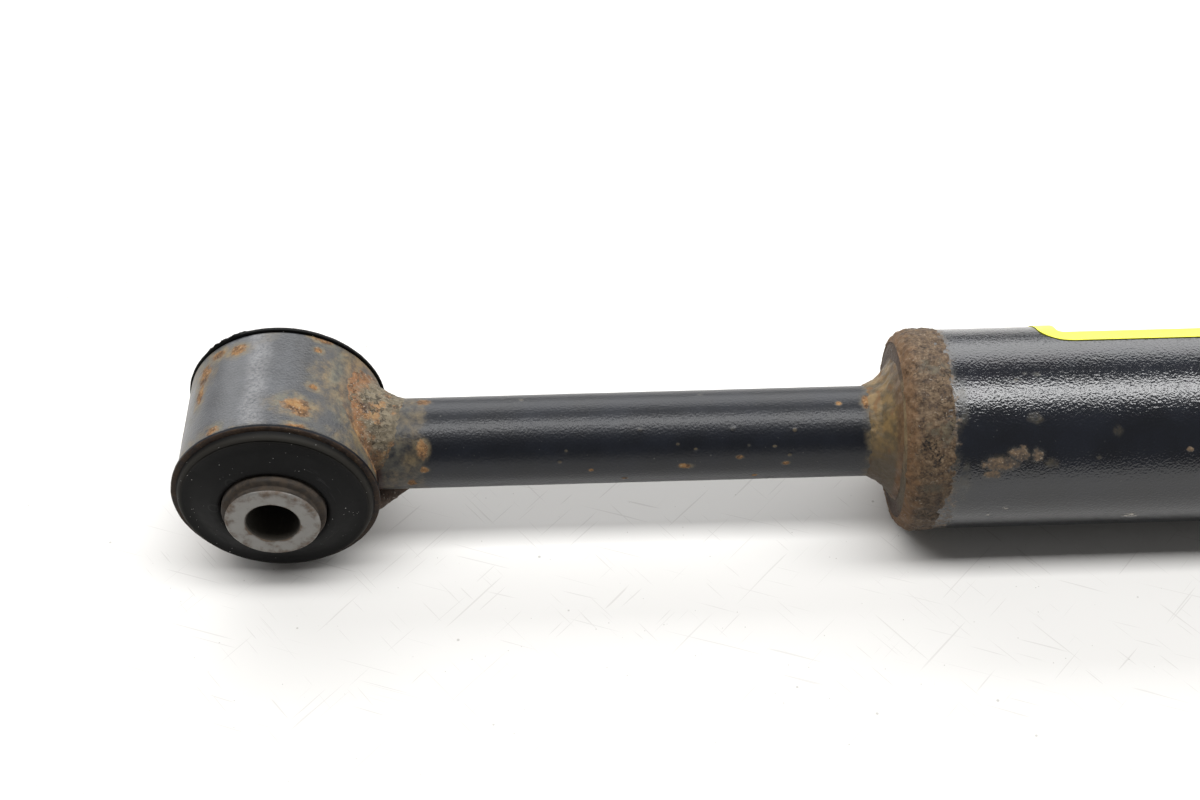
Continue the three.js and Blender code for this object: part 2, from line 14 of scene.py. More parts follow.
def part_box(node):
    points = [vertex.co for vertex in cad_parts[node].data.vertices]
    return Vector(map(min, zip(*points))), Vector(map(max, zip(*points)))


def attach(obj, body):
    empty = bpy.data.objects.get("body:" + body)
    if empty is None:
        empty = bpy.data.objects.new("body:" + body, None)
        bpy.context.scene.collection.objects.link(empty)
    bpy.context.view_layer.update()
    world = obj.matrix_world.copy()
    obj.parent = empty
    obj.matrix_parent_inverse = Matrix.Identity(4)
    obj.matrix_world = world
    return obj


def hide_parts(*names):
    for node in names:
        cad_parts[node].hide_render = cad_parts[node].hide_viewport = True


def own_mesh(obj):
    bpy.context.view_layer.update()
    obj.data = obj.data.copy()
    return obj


bl_info = {
    "name": "Rear Shock Absorber",
    "version": (1, 0, 0),
    "blender": (4, 5, 0),
    "location": "3D View > Sidebar > Shock Absorber",
    "description": "Builds the surfaces, finishes and stage of a rear shock absorber",
    "category": "Object",
}

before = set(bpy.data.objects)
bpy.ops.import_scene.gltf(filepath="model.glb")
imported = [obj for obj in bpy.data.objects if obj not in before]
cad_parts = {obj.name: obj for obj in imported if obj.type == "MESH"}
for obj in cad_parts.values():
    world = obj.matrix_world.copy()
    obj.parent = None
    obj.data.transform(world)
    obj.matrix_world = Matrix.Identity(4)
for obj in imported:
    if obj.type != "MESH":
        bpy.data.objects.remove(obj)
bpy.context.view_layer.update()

MM = 0.001
TAU = 2 * math.pi
BODY = "damper_body"
ROD = "rod"
SLEEVE = "eye_sleeve"

# ---- places from the frame ----

SLEEVE_LOW, SLEEVE_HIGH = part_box("bush_inner_sleeve")
EYE_X = (SLEEVE_LOW[0] + SLEEVE_HIGH[0]) / 2
AXIS_Z = (SLEEVE_LOW[2] + SLEEVE_HIGH[2]) / 2


class Extent:
    """Where a CAD piece lies: millimetres along the part, its radius and half its width."""

    def __init__(self, node):
        low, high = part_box(node)
        self.start = (low[0] - EYE_X) / MM
        self.end = (high[0] - EYE_X) / MM
        self.radius = (high[2] - low[2]) / 2 / MM
        self.near = low[1] / MM
        self.far = high[1] / MM


RING = Extent("eye_ring")
SHELL = Extent("bush_outer_sleeve")
INNER = Extent("bush_inner_sleeve")
TUBE = Extent("extension_tube")
CAP = Extent("base_cap")
SEAM = Extent("base_weld")
SHELL_TUBE = Extent("body_tube")
STICKER = Extent("label")
BUMP_CAP = Extent("bump_cap")
SHAFT = Extent("piston_rod")
STOP = Extent("bump_stop")
LOW_CUP = Extent("lower_cup_washer")
HIGH_CUP = Extent("upper_cup_washer")
SPACER = Extent("grommet_spacer")
NUT = Extent("top_nut")

BORE_RADIUS = 7.1
STUD_RADIUS = 5.0
ROD_RADIUS = 7.0
FLANGE_RADIUS = 28.0
FAR_FLANGE_RADIUS = 27.5
SHELL_RADIUS = 24.0
LIP_RADIUS = 20.0
CAP_END = 176.7
SPIGOT_RADIUS = 25.7
WELD_CROWN = 28.0
PISTON_SHOULDER = 403.2
STACK_FACE = 635.0
TUBE_WALL = 3.0
BODY_WALL = 1.6


def place(along, radius, angle, about):
    """A point in the frame's metres. About X the angle runs from -Y to +Z, about Y from +X to +Z."""
    across, up = radius * math.cos(angle) * MM, radius * math.sin(angle) * MM
    if about == "X":
        return Vector((EYE_X + along * MM, -across, AXIS_Z + up))
    return Vector((EYE_X + across, along * MM, AXIS_Z + up))


# ---- outlines ----


def rounded(corners, steps=5):
    """Outline points from corners (along, radius) or (along, radius, fillet size)."""
    points = []
    for index, corner in enumerate(corners):
        here = Vector(corner[:2])
        if len(corner) < 3:
            points.append(tuple(here))
            continue
        before = Vector(corners[index - 1][:2])
        after = Vector(corners[(index + 1) % len(corners)][:2])
        start = here + (before - here).normalized() * corner[2]
        end = here + (after - here).normalized() * corner[2]
        for step in range(steps + 1):
            t = step / steps
            points.append(tuple((1 - t) ** 2 * start + 2 * t * (1 - t) * here + t * t * end))
    return points


def spaced(points, gap, closed=True):
    """The same outline with points added so that no two neighbours are further apart than gap."""
    full = []
    ends = points[1:] + points[:1] if closed else points[1:]
    for one, two in zip(points, ends):
        count = max(1, math.ceil(math.dist(one, two) / gap))
        for step in range(count):
            t = step / count
            full.append((one[0] + (two[0] - one[0]) * t, one[1] + (two[1] - one[1]) * t))
    if not closed:
        full.append(points[-1])
    return full


def arc(along, radius, size, start, end, steps):
    """Points of an arc; angles in degrees from +along towards +radius."""
    angles = [math.radians(start + (end - start) * i / steps) for i in range(steps + 1)]
    return [(along + size * math.cos(a), radius + size * math.sin(a)) for a in angles]


def outward(points):
    """The outward normal at each point of an outline."""
    loop = points[1:] + points[:1]
    area = sum(a[0] * b[1] - b[0] * a[1] for a, b in zip(points, loop))
    side = 1 if area > 0 else -1
    normals = []
    for index in range(len(points)):
        a, b = points[index - 1], points[(index + 1) % len(points)]
        edge = Vector((b[1] - a[1], a[0] - b[0])) * side
        normals.append(edge.normalized() if edge.length else Vector((0, 1)))
    return normals


# ---- meshes ----


def bridge(mesh, one, two):
    """Faces between two rings of the same count, or between a ring and a pole."""
    if len(one) == 1 and len(two) == 1:
        return
    count = max(len(one), len(two))
    for i in range(count):
        j = (i + 1) % count
        if len(one) == 1:
            mesh.faces.new((one[0], two[i], two[j]))
        elif len(two) == 1:
            mesh.faces.new((one[i], two[0], one[j]))
        else:
            mesh.faces.new((one[i], two[i], two[j], one[j]))


def finished(name, mesh, sharp=32):
    """A linked object, smooth but for edges where the surface turns by more than sharp degrees."""
    bmesh.ops.recalc_face_normals(mesh, faces=mesh.faces)
    data = bpy.data.meshes.new(name)
    mesh.to_mesh(data)
    mesh.free()
    data.shade_smooth()
    data.set_sharp_from_angle(angle=math.radians(sharp))
    piece = bpy.data.objects.new(name, data)
    bpy.context.scene.collection.objects.link(piece)
    return piece


def turn(name, outline, about="X", steps=160, mould=None, sharp=32):
    """Turns an outline about an axis. mould(along, radius, angle, normal) may move each point."""
    closed = outline[0][1] > 0 or outline[-1][1] > 0
    mesh = bmesh.new()
    rings = []
    for (along, radius), normal in zip(outline, outward(outline)):
        if radius == 0:
            rings.append([mesh.verts.new(place(along, 0, 0, about))])
            continue
        ring = []
        for step in range(steps):
            angle = TAU * step / steps
            spot = mould(along, radius, angle, normal) if mould else (along, radius)
            ring.append(mesh.verts.new(place(*spot, angle, about)))
        rings.append(ring)
    for one, two in zip(rings, rings[1:] + rings[:1] if closed else rings[1:]):
        bridge(mesh, one, two)
    return finished(name, mesh, sharp)


def loft(name, sections, sharp=50):
    """A closed body through closed sections; the first and last sections are single points."""
    mesh = bmesh.new()
    rings = [[mesh.verts.new(point) for point in section] for section in sections]
    for one, two in zip(rings, rings[1:]):
        bridge(mesh, one, two)
    return finished(name, mesh, sharp)


def lumps(spot, size, seed=0.0, octaves=3):
    """Smooth noise from about -1 to 1 at a place in metres; size is in millimetres."""
    return noise.fractal(spot / (size * MM) + Vector((seed, seed * 1.7, -seed)), 0.9, 2.0, octaves)


def rough_skin(about, depth, size, seed, share=None):
    """A mould that pushes points along their normals by noise, where share(along, radius, angle) allows."""

    def mould(along, radius, angle, normal):
        amount = share(along, radius, angle) if share else 1.0
        if amount <= 0:
            return along, radius
        push = depth * amount * lumps(place(along, radius, angle, about), size, seed)
        return along + normal[0] * push, radius + normal[1] * push

    return mould


def smooth(edge_0, edge_1, value):
    """0 before edge_0, 1 after edge_1, eased between."""
    t = min(1.0, max(0.0, (value - edge_0) / (edge_1 - edge_0)))
    return t * t * (3 - 2 * t)


def between(table, value):
    """Linear reading of a short list of (value, result) pairs."""
    for (v0, r0), (v1, r1) in zip(table, table[1:]):
        if value <= v1:
            return r0 + (r1 - r0) * max(0.0, (value - v0) / (v1 - v0))
    return table[-1][1]


# ---- marks: place on the skin (u, v) and half sizes, in millimetres ----

# u runs round the ring from +X towards +Z, v along the bolt
RING_RUST = [
    (34.4, -8.6, 5.4, 3.0),
    (32.6, -10.6, 3.2, 2.6),
    (30.2, -1.0, 1.7, 1.6),
    (33.4, -16.4, 4.2, 1.3),
    (28.6, 17.4, 4.0, 1.5),
    (30.2, 13.0, 1.6, 1.4),
    (64.1, 10.0, 3.4, 5.0),
    (65.0, 3.2, 2.2, 4.6),
    (59.4, 14.6, 3.2, 2.2),
    (57.0, -15.0, 3.0, 1.8),
    (51.4, -17.2, 3.6, 1.0),
    (52.4, 13.0, 3.4, 2.4),
    (-40.0, 3.0, 9.0, 6.0),
    (-66.0, -10.0, 6.0, 7.0),
    (80.0, -4.0, 5.0, 4.0),
]
# u runs along the part, v round it from -Y towards +Z
TUBE_RUST = [
    (39.8, 24.2, 2.8, 2.2),
    (39.8, 8.4, 2.2, 3.4),
    (36.2, -2.8, 1.8, 2.0),
    (40.0, 2.5, 1.5, 1.6),
    (110.8, 1.4, 2.3, 1.2),
    (125.7, 3.9, 1.2, 0.8),
    (138.2, 1.4, 1.3, 0.8),
    (130.0, -3.8, 1.2, 0.8),
    (94.4, -3.4, 1.2, 0.7),
    (153.0, 18.6, 1.2, 0.9),
    (85.2, 0.8, 0.9, 0.7),
    (160.4, 19.0, 1.6, 3.0),
    (76.0, -24.0, 6.0, 3.0),
    (132.0, 36.0, 5.0, 2.6),
]
TUBE_BLISTERS = [
    (76.8, 3.9, 0.8, 0.6),
    (66.6, 23.8, 0.8, 0.7),
    (123.9, 11.8, 0.9, 0.7),
    (140.6, 11.1, 0.8, 0.7),
    (78.6, 7.1, 0.6, 0.5),
    (108.9, 8.1, 0.7, 0.5),
    (135.1, 6.8, 0.8, 0.5),
    (128.1, 7.3, 0.6, 0.5),
    (113.7, 6.6, 0.7, 0.5),
    (115.6, 23.8, 0.9, 0.7),
    (98.7, 12.2, 0.7, 0.6),
    (139.2, 4.1, 0.8, 0.6),
    (96.0, -18.0, 0.9, 0.7),
    (58.0, 32.0, 0.9, 0.8),
]
BODY_RUST = [
    (193.2, 12.9, 6.2, 2.7),
    (191.0, 9.8, 2.8, 1.5),
    (198.0, 15.4, 3.6, 2.6),
    (202.8, 15.0, 2.2, 2.4),
    (243.0, 15.4, 1.2, 1.0),
    (290.0, -30.0, 5.0, 7.0),
    (352.0, 12.0, 3.0, 2.0),
    (330.0, -10.0, 1.6, 1.2),
    (404.0, 44.0, 4.0, 2.0),
    (262.0, 70.0, 6.0, 3.0),
    (377.0, -58.0, 7.0, 4.0),
]
BODY_STAINS = [
    (202.0, 25.0, 2.4, 2.0),
    (203.8, 37.0, 1.8, 1.1),
    (200.6, 37.4, 0.9, 0.7),
    (223.8, 20.6, 2.0, 2.0),
    (219.0, 13.9, 1.0, 0.9),
    (198.0, 35.5, 0.9, 0.8),
    (183.5, 30.0, 2.0, 9.0),
    (184.0, 8.0, 2.4, 8.0),
    (206.5, 12.6, 2.6, 2.0),
]
BODY_CHIPS = [
    (230.7, -8.2, 2.4, 1.3),
    (196.0, -2.4, 1.0, 0.5),
    (192.0, -5.8, 0.9, 0.4),
    (300.0, -6.0, 1.3, 0.7),
]


def signed(angle):
    """An angle from 0 to a full turn as one from minus to plus half a turn."""
    return angle if angle < math.pi else angle - TAU


def marked(marks, u, v):
    """1 in the middle of a mark, 0 at its rim and below 0 outside."""
    return max(1 - math.hypot((u - a) / wide, (v - b) / high) for a, b, wide, high in marks)


# ---- finishes ----


class Wire:
    """An output socket that takes part in arithmetic: each operation adds a Math node."""

    def __init__(self, finish, socket):
        self.finish = finish
        self.socket = socket

    def math(self, operation, *others, clamp=False):
        values = dict(enumerate((self, *others)))
        return self.finish.node("ShaderNodeMath", {"operation": operation, "use_clamp": clamp}, values)

    def __add__(self, other):
        return self.math("ADD", other)

    __radd__ = __add__

    def __mul__(self, other):
        return self.math("MULTIPLY", other)

    __rmul__ = __mul__

    def __sub__(self, other):
        return self.math("SUBTRACT", other)

    def __rsub__(self, other):
        return self.finish.node("ShaderNodeMath", {"operation": "SUBTRACT"}, {0: other, 1: self})

    def highest(self, other):
        return self.math("MAXIMUM", other)

    def eased(self, low, high):
        """0 below low, 1 above high, eased between."""
        values = {"Value": self, "From Min": low, "From Max": high}
        return self.finish.node("ShaderNodeMapRange", {"interpolation_type": "SMOOTHSTEP"}, values)


MIX_FACTOR = 0
MIX_COLOURS = (6, 7)
MIX_RESULT = 2


class Finish:
    """A node material under construction round one Principled surface."""

    def __init__(self, name, gloss=0.5, **sockets):
        self.material = bpy.data.materials.new(name)
        self.material.use_nodes = True
        self.tree = self.material.node_tree
        self.tree.nodes.clear()
        output = self.tree.nodes.new("ShaderNodeOutputMaterial")
        self.surface = self.tree.nodes.new("ShaderNodeBsdfPrincipled")
        self.tree.links.new(self.surface.outputs[0], output.inputs[0])
        self.surface.inputs["Specular IOR Level"].default_value = gloss
        self.set(**sockets)

    def set(self, **sockets):
        """Values or links of the surface's sockets, named with _ for a space."""
        for name, value in sockets.items():
            self.plug(self.surface.inputs[name.replace("_", " ").title()], value)
        return self

    def plug(self, socket, value):
        if isinstance(value, Wire):
            self.tree.links.new(value.socket, socket)
        elif socket.type == "RGBA":
            socket.default_value = (*value[:3], 1.0)
        else:
            socket.default_value = value

    def node(self, kind, settings=None, values=None, out=0):
        """Adds a node: its settings first, a ramp's stops among them, then its sockets."""
        made = self.tree.nodes.new(kind)
        for name, value in (settings or {}).items():
            if name == "stops":
                ramp = made.color_ramp.elements
                while len(ramp) < len(value):
                    ramp.new(0.5)
                for element, (position, colour) in zip(ramp, value):
                    element.position = position
                    element.color = (*colour[:3], 1.0)
            else:
                setattr(made, name, value)
        for name, value in (values or {}).items():
            self.plug(made.inputs[name], value)
        return Wire(self, made.outputs[out])

    def vector(self, operation, *values, out=0):
        return self.node("ShaderNodeVectorMath", {"operation": operation}, dict(enumerate(values)), out)

    def spot(self):
        """The place on the part in millimetres from the bolt's axis."""
        metres = self.node("ShaderNodeTexCoord", out="Object")
        from_eye = self.vector("SUBTRACT", metres, (EYE_X, 0, AXIS_Z))
        return self.vector("MULTIPLY", from_eye, (1 / MM, 1 / MM, 1 / MM))

    def split(self, vector):
        x = self.node("ShaderNodeSeparateXYZ", values={0: vector})
        return [Wire(self, socket) for socket in x.socket.node.outputs]

    def join(self, x, y, z=0.0):
        return self.node("ShaderNodeCombineXYZ", values={0: x, 1: y, 2: z})

    def grain(self, vector, size, detail=2.0, roughness=0.5, distortion=0.0):
        """Noise from 0 to 1 whose features are about size millimetres across."""
        values = {
            "Vector": vector,
            "Scale": 1 / size,
            "Detail": detail,
            "Roughness": roughness,
            "Distortion": distortion,
        }
        return self.node("ShaderNodeTexNoise", values=values)

    def cells(self, vector, size, feature="F1", out="Distance"):
        values = {"Vector": vector, "Scale": 1 / size}
        return self.node("ShaderNodeTexVoronoi", {"feature": feature}, values, out)

    def specks(self, vector, radius, spacing):
        """Small round marks of about radius, spacing apart on a surface, both in millimetres."""
        size = 4 * radius
        share = min(1.0, size**3 / (2 * radius * spacing**2))
        place_in_cell = self.cells(vector, size)
        chance = self.split(self.cells(vector, size, out="Color"))[0]
        mark = (place_in_cell * size).eased(radius, radius * 0.55)
        return mark * chance.eased(0.999 - share, 1.0 - share)

    def ramp(self, value, stops):
        return self.node("ShaderNodeValToRGB", {"stops": stops}, {0: value}, "Color")

    def mix(self, share, one, two):
        """Colour one where share is 0 and colour two where it is 1."""
        values = {MIX_FACTOR: share, MIX_COLOURS[0]: one, MIX_COLOURS[1]: two}
        return self.node("ShaderNodeMix", {"data_type": "RGBA"}, values, MIX_RESULT)

    def relief(self, height, depth):
        """A normal from a height of 0 to 1 that stands for depth millimetres."""
        values = {"Height": height, "Distance": depth * MM, "Strength": 1.0}
        return self.node("ShaderNodeBump", values=values)

    def patches(self, flat, marks):
        """The highest of round marks (place, place, half size, half size), 1 in the middle, 0 at the rim."""
        result = None
        for u, v, wide, high in marks:
            step = self.vector("SUBTRACT", flat, (u, v, 0))
            scaled = self.vector("MULTIPLY", step, (1 / wide, 1 / high, 0))
            mark = 1 - self.vector("LENGTH", scaled, out="Value")
            result = mark if result is None else result.highest(mark)
        return result


PAINT_GLOSS = 0.75
WARM_RUST = (
    (0.36, (0.03, 0.015, 0.008)),
    (0.45, (0.1, 0.056, 0.028)),
    (0.54, (0.24, 0.125, 0.048)),
    (0.66, (0.3, 0.2, 0.09)),
)
DULL_RUST = (
    (0.36, (0.01, 0.006, 0.004)),
    (0.45, (0.05, 0.032, 0.018)),
    (0.56, (0.115, 0.072, 0.036)),
    (0.68, (0.18, 0.115, 0.056)),
)
DARK_FILM = ((0.058, 0.047, 0.027), (0.036, 0.037, 0.033))
PALE_FILM = ((0.2, 0.14, 0.062), (0.125, 0.115, 0.078))
BODY_FILM = ((0.045, 0.036, 0.021), (0.03, 0.031, 0.028))
TUBE_FILM = ((0.135, 0.1, 0.052), (0.072, 0.066, 0.05))
DUST = (0.13, 0.13, 0.12)
# dark rust with painted shade, for the open crevice where the tube meets the eye ring
CREVICE_RUST_AND_SHADE = (0.03, 0.011, 0.007)


def rust_colour(f, spot, palette=DULL_RUST):
    """Mottled rust, from near black in the pits to ochre."""
    tone = f.grain(spot, 3.2, 5, 0.62) * 0.65 + f.grain(spot, 0.7, 3, 0.6) * 0.35
    return f.ramp(tone, palette)


def painted(f, spot, colour, rust, halo, peel_depth=0.1, shine=0.2, palette=DULL_RUST, film=DARK_FILM):
    """Old semi-gloss paint with an orange-peel grain, under a halo of film and patches of rust."""
    cloud = f.grain(spot, 11, 4, 0.6)
    dust = f.specks(spot, 0.17, 6.5).highest(f.specks(spot, 0.32, 24))
    worn_paint = f.vector("MULTIPLY", colour, (1.8, 1.8, 1.8))
    shade = f.mix(cloud.eased(0.3, 0.75), colour, worn_paint)
    shade = f.mix(dust * 0.3, shade, DUST)
    film_colour = f.mix(f.grain(spot, 5.0, 4).eased(0.35, 0.65), *film)
    film_colour = f.mix(rust.eased(0.0, 0.5) * 0.5, film_colour, palette[2][1])
    cover = f.grain(spot, 2.4, 5, 0.65).eased(0.25, 0.7)
    shade = f.mix(halo * cover * 0.9, shade, film_colour)
    solid = f.grain(spot, 1.1, 4, 0.6)
    shade = f.mix(rust * solid.eased(0.2, 0.45), shade, rust_colour(f, spot, palette))
    # painted glints: pale specks in the rust that stand for light caught by bare metal
    painted_glint = f.grain(spot, 0.7, 3, 0.6).eased(0.61, 0.66) * rust
    shade = f.mix(painted_glint * 0.5, shade, (0.34, 0.3, 0.24))
    peel = f.grain(spot, 0.62, 1.0, 0.5)
    scab = f.grain(spot, 0.9, 4, 0.7)
    height = peel * (1 - rust) + scab * rust * (0.22 / peel_depth) + dust * 0.15
    roughness = cloud * 0.06 + shine + rust * 0.45 + halo * 0.14
    f.set(base_color=shade, roughness=roughness, normal=f.relief(height, peel_depth))
    return shade


def worn(f, spot, mark, low=0.02, high=0.3, size=2.2, amount=0.9):
    """A mark whose edge is broken up by noise."""
    return (mark + (f.grain(spot, size, 5, 0.65) - 0.5) * amount).eased(low, high)


def distance(one, two):
    """The distance from an axis, out of the two coordinates across it."""
    return (one * one + two * two).math("SQRT")


def round_part(f, spot, radius):
    """Flat coordinates on the part's round skin: along, and the distance round from -Y towards +Z."""
    x, y, z = f.split(spot)
    turned = z.math("ARCTAN2", y * -1.0)
    return f.join(x, turned * radius), x, turned * (180 / math.pi)


def ring_finish(colour):
    f = Finish("ring_paint", 0.42)
    spot = f.spot()
    x, y, z = f.split(spot)
    turned = z.math("ARCTAN2", x)
    wave = (f.grain(spot, 6, 4, 0.6) - 0.5) * 9 + turned * (180 / math.pi)
    # painted highlight: lighter grey bands across the top of the ring, where the overhead light falls, broken
    # up by grain
    painted_highlight = wave.eased(87, 95) * wave.eased(107, 99) + wave.eased(68, 71) * wave.eased(76, 73) * 0.12
    painted_highlight = painted_highlight * f.grain(spot, 0.9, 3, 0.6).eased(0.25, 0.6)
    # painted shade: the paint darkened on the side of the ring beside the painted highlight
    painted_side_shade = wave.eased(82, 70) * wave.eased(20, 45)
    colour = f.mix(painted_side_shade * 0.9, colour, tuple(c * 0.35 for c in colour))
    colour = f.mix(painted_highlight * 0.7, colour, (0.12, 0.12, 0.123))
    flat = f.join(turned * RING.radius, y)
    from_tube = distance(y, z)
    about_tube = z.math("ARCTAN2", y * -1.0) * (180 / math.pi)
    toe = (about_tube * 0.078 + 11.9).highest(12.6)
    right = x.eased(8, 2) * 5.0
    collar = (toe - from_tube) * 0.5 + 0.9 - right
    stripe = worn(f, spot, collar, 0.2, 0.62, 1.8, 0.7) * (1 - about_tube.eased(58, 88) * 0.85)
    patch = f.patches(flat, RING_RUST)
    rust = worn(f, spot, patch, 0.14, 0.62, 1.9, 1.5).highest(stripe)
    rims = y.math("ABSOLUTE").eased(7.5, 16.5) * 0.6
    sides = x.math("ABSOLUTE").eased(9, 25) * 0.65
    around = ((toe - from_tube) * 0.2 + 1.1 - right).highest(rims + sides - 0.72)
    halo = worn(f, spot, (patch * 0.8 + 0.4).highest(around), -0.3, 0.65, 4.6, 1.6)
    shade = painted(f, spot, colour, rust, halo, 0.1, 0.3, WARM_RUST, PALE_FILM)
    # dark rust and painted shade in the open crevice between tube and ring on the near side
    gap = from_tube.eased(14.6, 13.0) * about_tube.eased(14, 6) * about_tube.eased(-46, -38) * (1 - right)
    f.set(base_color=f.mix(gap * 0.9, shade, CREVICE_RUST_AND_SHADE))
    return f.material


def tube_finish(colour):
    f = Finish("tube_paint", 0.42)
    spot = f.spot()
    flat, x = round_part(f, spot, TUBE.radius)[:2]
    patch = f.patches(flat, TUBE_RUST)
    rust = worn(f, spot, patch, 0.12, 0.6, 1.7, 1.2)
    ends = (x.eased(50, 34) * 1.5 - 0.8).highest(x.eased(154, 163) * 1.5 - 0.8)
    halo = worn(f, spot, (patch + 0.3).highest(ends), 0.0, 0.7, 3.4, 1.6)
    blister = f.patches(flat, TUBE_BLISTERS).eased(0.0, 0.5)
    shade = painted(f, spot, colour, rust, halo.highest(blister * 0.6), 0.08, 0.33, WARM_RUST, TUBE_FILM)
    # dark rust and painted shade where the tube runs into the eye ring
    gap = distance(x, f.split(spot)[2]).eased(29.2, 27.8)
    f.set(base_color=f.mix(gap * 0.9, shade, CREVICE_RUST_AND_SHADE))
    return f.material


def body_finish(colour):
    f = Finish("body_paint", PAINT_GLOSS)
    spot = f.spot()
    flat, x = round_part(f, spot, SHELL_TUBE.radius)[:2]
    near_cap = x.eased(188.0, 180.5)
    near_end = x.eased(419.0, 427.0)
    ends = (near_cap * 1.3 - 1.0).highest(near_end * 1.1 - 1.0)
    patch = f.patches(flat, BODY_RUST).highest(ends)
    rust = worn(f, spot, patch, 0.14, 0.62, 1.6, 1.7)
    stain = f.patches(flat, BODY_STAINS)
    halo = worn(f, spot, (patch + 0.2).highest(stain), 0.0, 0.7, 2.8, 1.5)
    shade = painted(f, spot, colour, rust, halo, 0.115, 0.15, DULL_RUST, BODY_FILM)
    bare = f.patches(flat, BODY_CHIPS).eased(-0.1, 0.3) * f.grain(spot, 0.8, 4, 0.7).eased(0.5, 0.56)
    f.set(base_color=f.mix(bare, shade, f.mix(f.grain(spot, 0.5, 2), (0.2, 0.16, 0.11), (0.6, 0.57, 0.5))))
    return f.material


def pitting(f, spot, marks, centre_radius):
    """Clusters of black pits round the part: mark places as for the body, size of pits by noise."""
    flat = round_part(f, spot, centre_radius)[0]
    near = f.patches(flat, marks).eased(0.0, 0.35)
    return near * f.grain(spot, 0.8, 4, 0.7).eased(0.52, 0.6)


CRUST_BROWN = (
    (0.36, (0.014, 0.008, 0.005)),
    (0.45, (0.058, 0.035, 0.019)),
    (0.55, (0.11, 0.072, 0.04)),
    (0.68, (0.2, 0.145, 0.092)),
)
CRUST_PITS = [
    (174.0, 18.6, 2.6, 2.6),
    (176.5, 15.0, 2.0, 2.4),
    (181.0, 21.6, 1.5, 1.8),
    (171.0, 40.0, 2.4, 2.6),
    (177.0, -34.0, 3.0, 3.4),
    (176.0, 66.0, 3.0, 3.0),
    (174.0, -70.0, 3.0, 4.0),
]


def crust(f, spot, film_share):
    """Old weld scale: brown rust and a worn olive film, with cracks, black pits and bright flecks."""
    tone = f.grain(spot, 2.1, 6, 0.68) * 0.6 + f.grain(spot, 0.7, 3, 0.6) * 0.4
    brown = f.ramp(tone, CRUST_BROWN)
    film = f.grain(spot, 8.0, 6, 0.68)
    olive = f.mix(f.grain(spot, 1.4, 4).eased(0.3, 0.7), (0.105, 0.088, 0.054), (0.05, 0.042, 0.03))
    shade = f.mix(film.eased(0.62 - film_share, 0.7 - film_share) * 0.8, brown, olive)
    # darker towards the bottom
    shade = f.mix(f.split(spot)[2].eased(16, 2) * 0.3, shade, (0.02, 0.014, 0.01))
    crack = 1 - (f.grain(spot, 3.2, 4, 0.6) - 0.5).math("ABSOLUTE").eased(0.0, 0.022)
    crack = crack * f.grain(spot, 7, 2).eased(0.42, 0.6)
    shade = f.mix(crack * 0.75, shade, (0.012, 0.008, 0.006))
    pits = pitting(f, spot, CRUST_PITS, SHELL_TUBE.radius)
    shade = f.mix(pits, shade, (0.006, 0.004, 0.003))
    glints = f.grain(spot, 0.55, 3, 0.6).eased(0.62, 0.68) * f.grain(spot, 5, 2).eased(0.45, 0.62)
    shade = f.mix(glints * 0.55, shade, (0.34, 0.31, 0.26))
    height = f.grain(spot, 1.9, 5, 0.62) * 0.7 + f.grain(spot, 0.5, 3, 0.6) * 0.3 - pits * 0.6 - crack * 0.3
    f.set(
        base_color=shade,
        roughness=0.7 - glints * 0.35 - film.eased(0.5, 0.8) * 0.16,
        normal=f.relief(height, 0.6),
    )
    return shade


def seam_finish():
    """Crust over the seam weld, greyer above and browner in front."""
    f = Finish("seam_crust", 0.35)
    spot = f.spot()
    shade = crust(f, spot, 0.06)
    x = f.split(spot)[0]
    edge = (x + (f.grain(spot, 3.0, 4, 0.6) - 0.5) * 9).eased(CAP.start + 4.5, CAP.start + 1.0)
    f.set(base_color=f.mix(edge * 0.6, shade, (0.15, 0.078, 0.032)))
    return f.material


def eye_weld_finish():
    """Weld at the eye: grey-olive film, orange rust and a sharp orange line at the ring."""
    f = Finish("eye_weld_crust", 0.4)
    spot = f.spot()
    x, y, z = f.split(spot)
    radius = distance(y, z)
    film = f.grain(spot, 4.2, 6, 0.68)
    grey = f.mix(f.grain(spot, 1.5, 5, 0.65).eased(0.32, 0.66), (0.075, 0.06, 0.036), (0.19, 0.155, 0.1))
    shade = f.mix(film.eased(0.5, 0.6), grey, rust_colour(f, spot, WARM_RUST))
    ring_line = distance(x, z).eased(28.8, 27.3)
    shade = f.mix(ring_line * f.grain(spot, 1.2, 3).eased(0.3, 0.55) * 0.85, shade, (0.2, 0.085, 0.028))
    # darker towards the bottom, and darker still on the underside
    shade = f.mix(z.eased(18, 3) * 0.72, shade, (0.03, 0.023, 0.015))
    under = z.eased(2, -6)
    shade = f.mix(under * 0.8, shade, f.mix(film, (0.02, 0.011, 0.007), (0.09, 0.05, 0.03)))
    crack = 1 - (f.grain(spot, 3.0, 5, 0.62) - 0.5).math("ABSOLUTE").eased(0.0, 0.03)
    crack = crack * f.grain(spot, 6, 2).eased(0.4, 0.6)
    shade = f.mix(crack * 0.75, shade, (0.022, 0.014, 0.009))
    smear = f.vector("SUBTRACT", spot, (25.5, -7.6, 15.4))
    smear = 1 - f.vector("LENGTH", f.vector("MULTIPLY", smear, (0.42, 0.42, 0.42)), out="Value")
    smear = (smear + (f.grain(spot, 1.0, 3) - 0.5) * 0.8).eased(0.05, 0.3)
    shade = f.mix(smear * 0.7, shade, (0.075, 0.1, 0.13))
    glints = f.grain(spot, 0.6, 4, 0.65).eased(0.6, 0.66) * radius.eased(11.5, 15)
    shade = f.mix(glints * 0.6, shade, (0.4, 0.36, 0.29))
    height = f.grain(spot, 1.7, 5, 0.66) * 0.75 + f.grain(spot, 0.45, 3, 0.6) * 0.3 - crack * 0.3
    rough = 0.68 - smear * 0.35 - glints * 0.35
    f.set(base_color=shade, roughness=rough, normal=f.relief(height, 0.45))
    return f.material


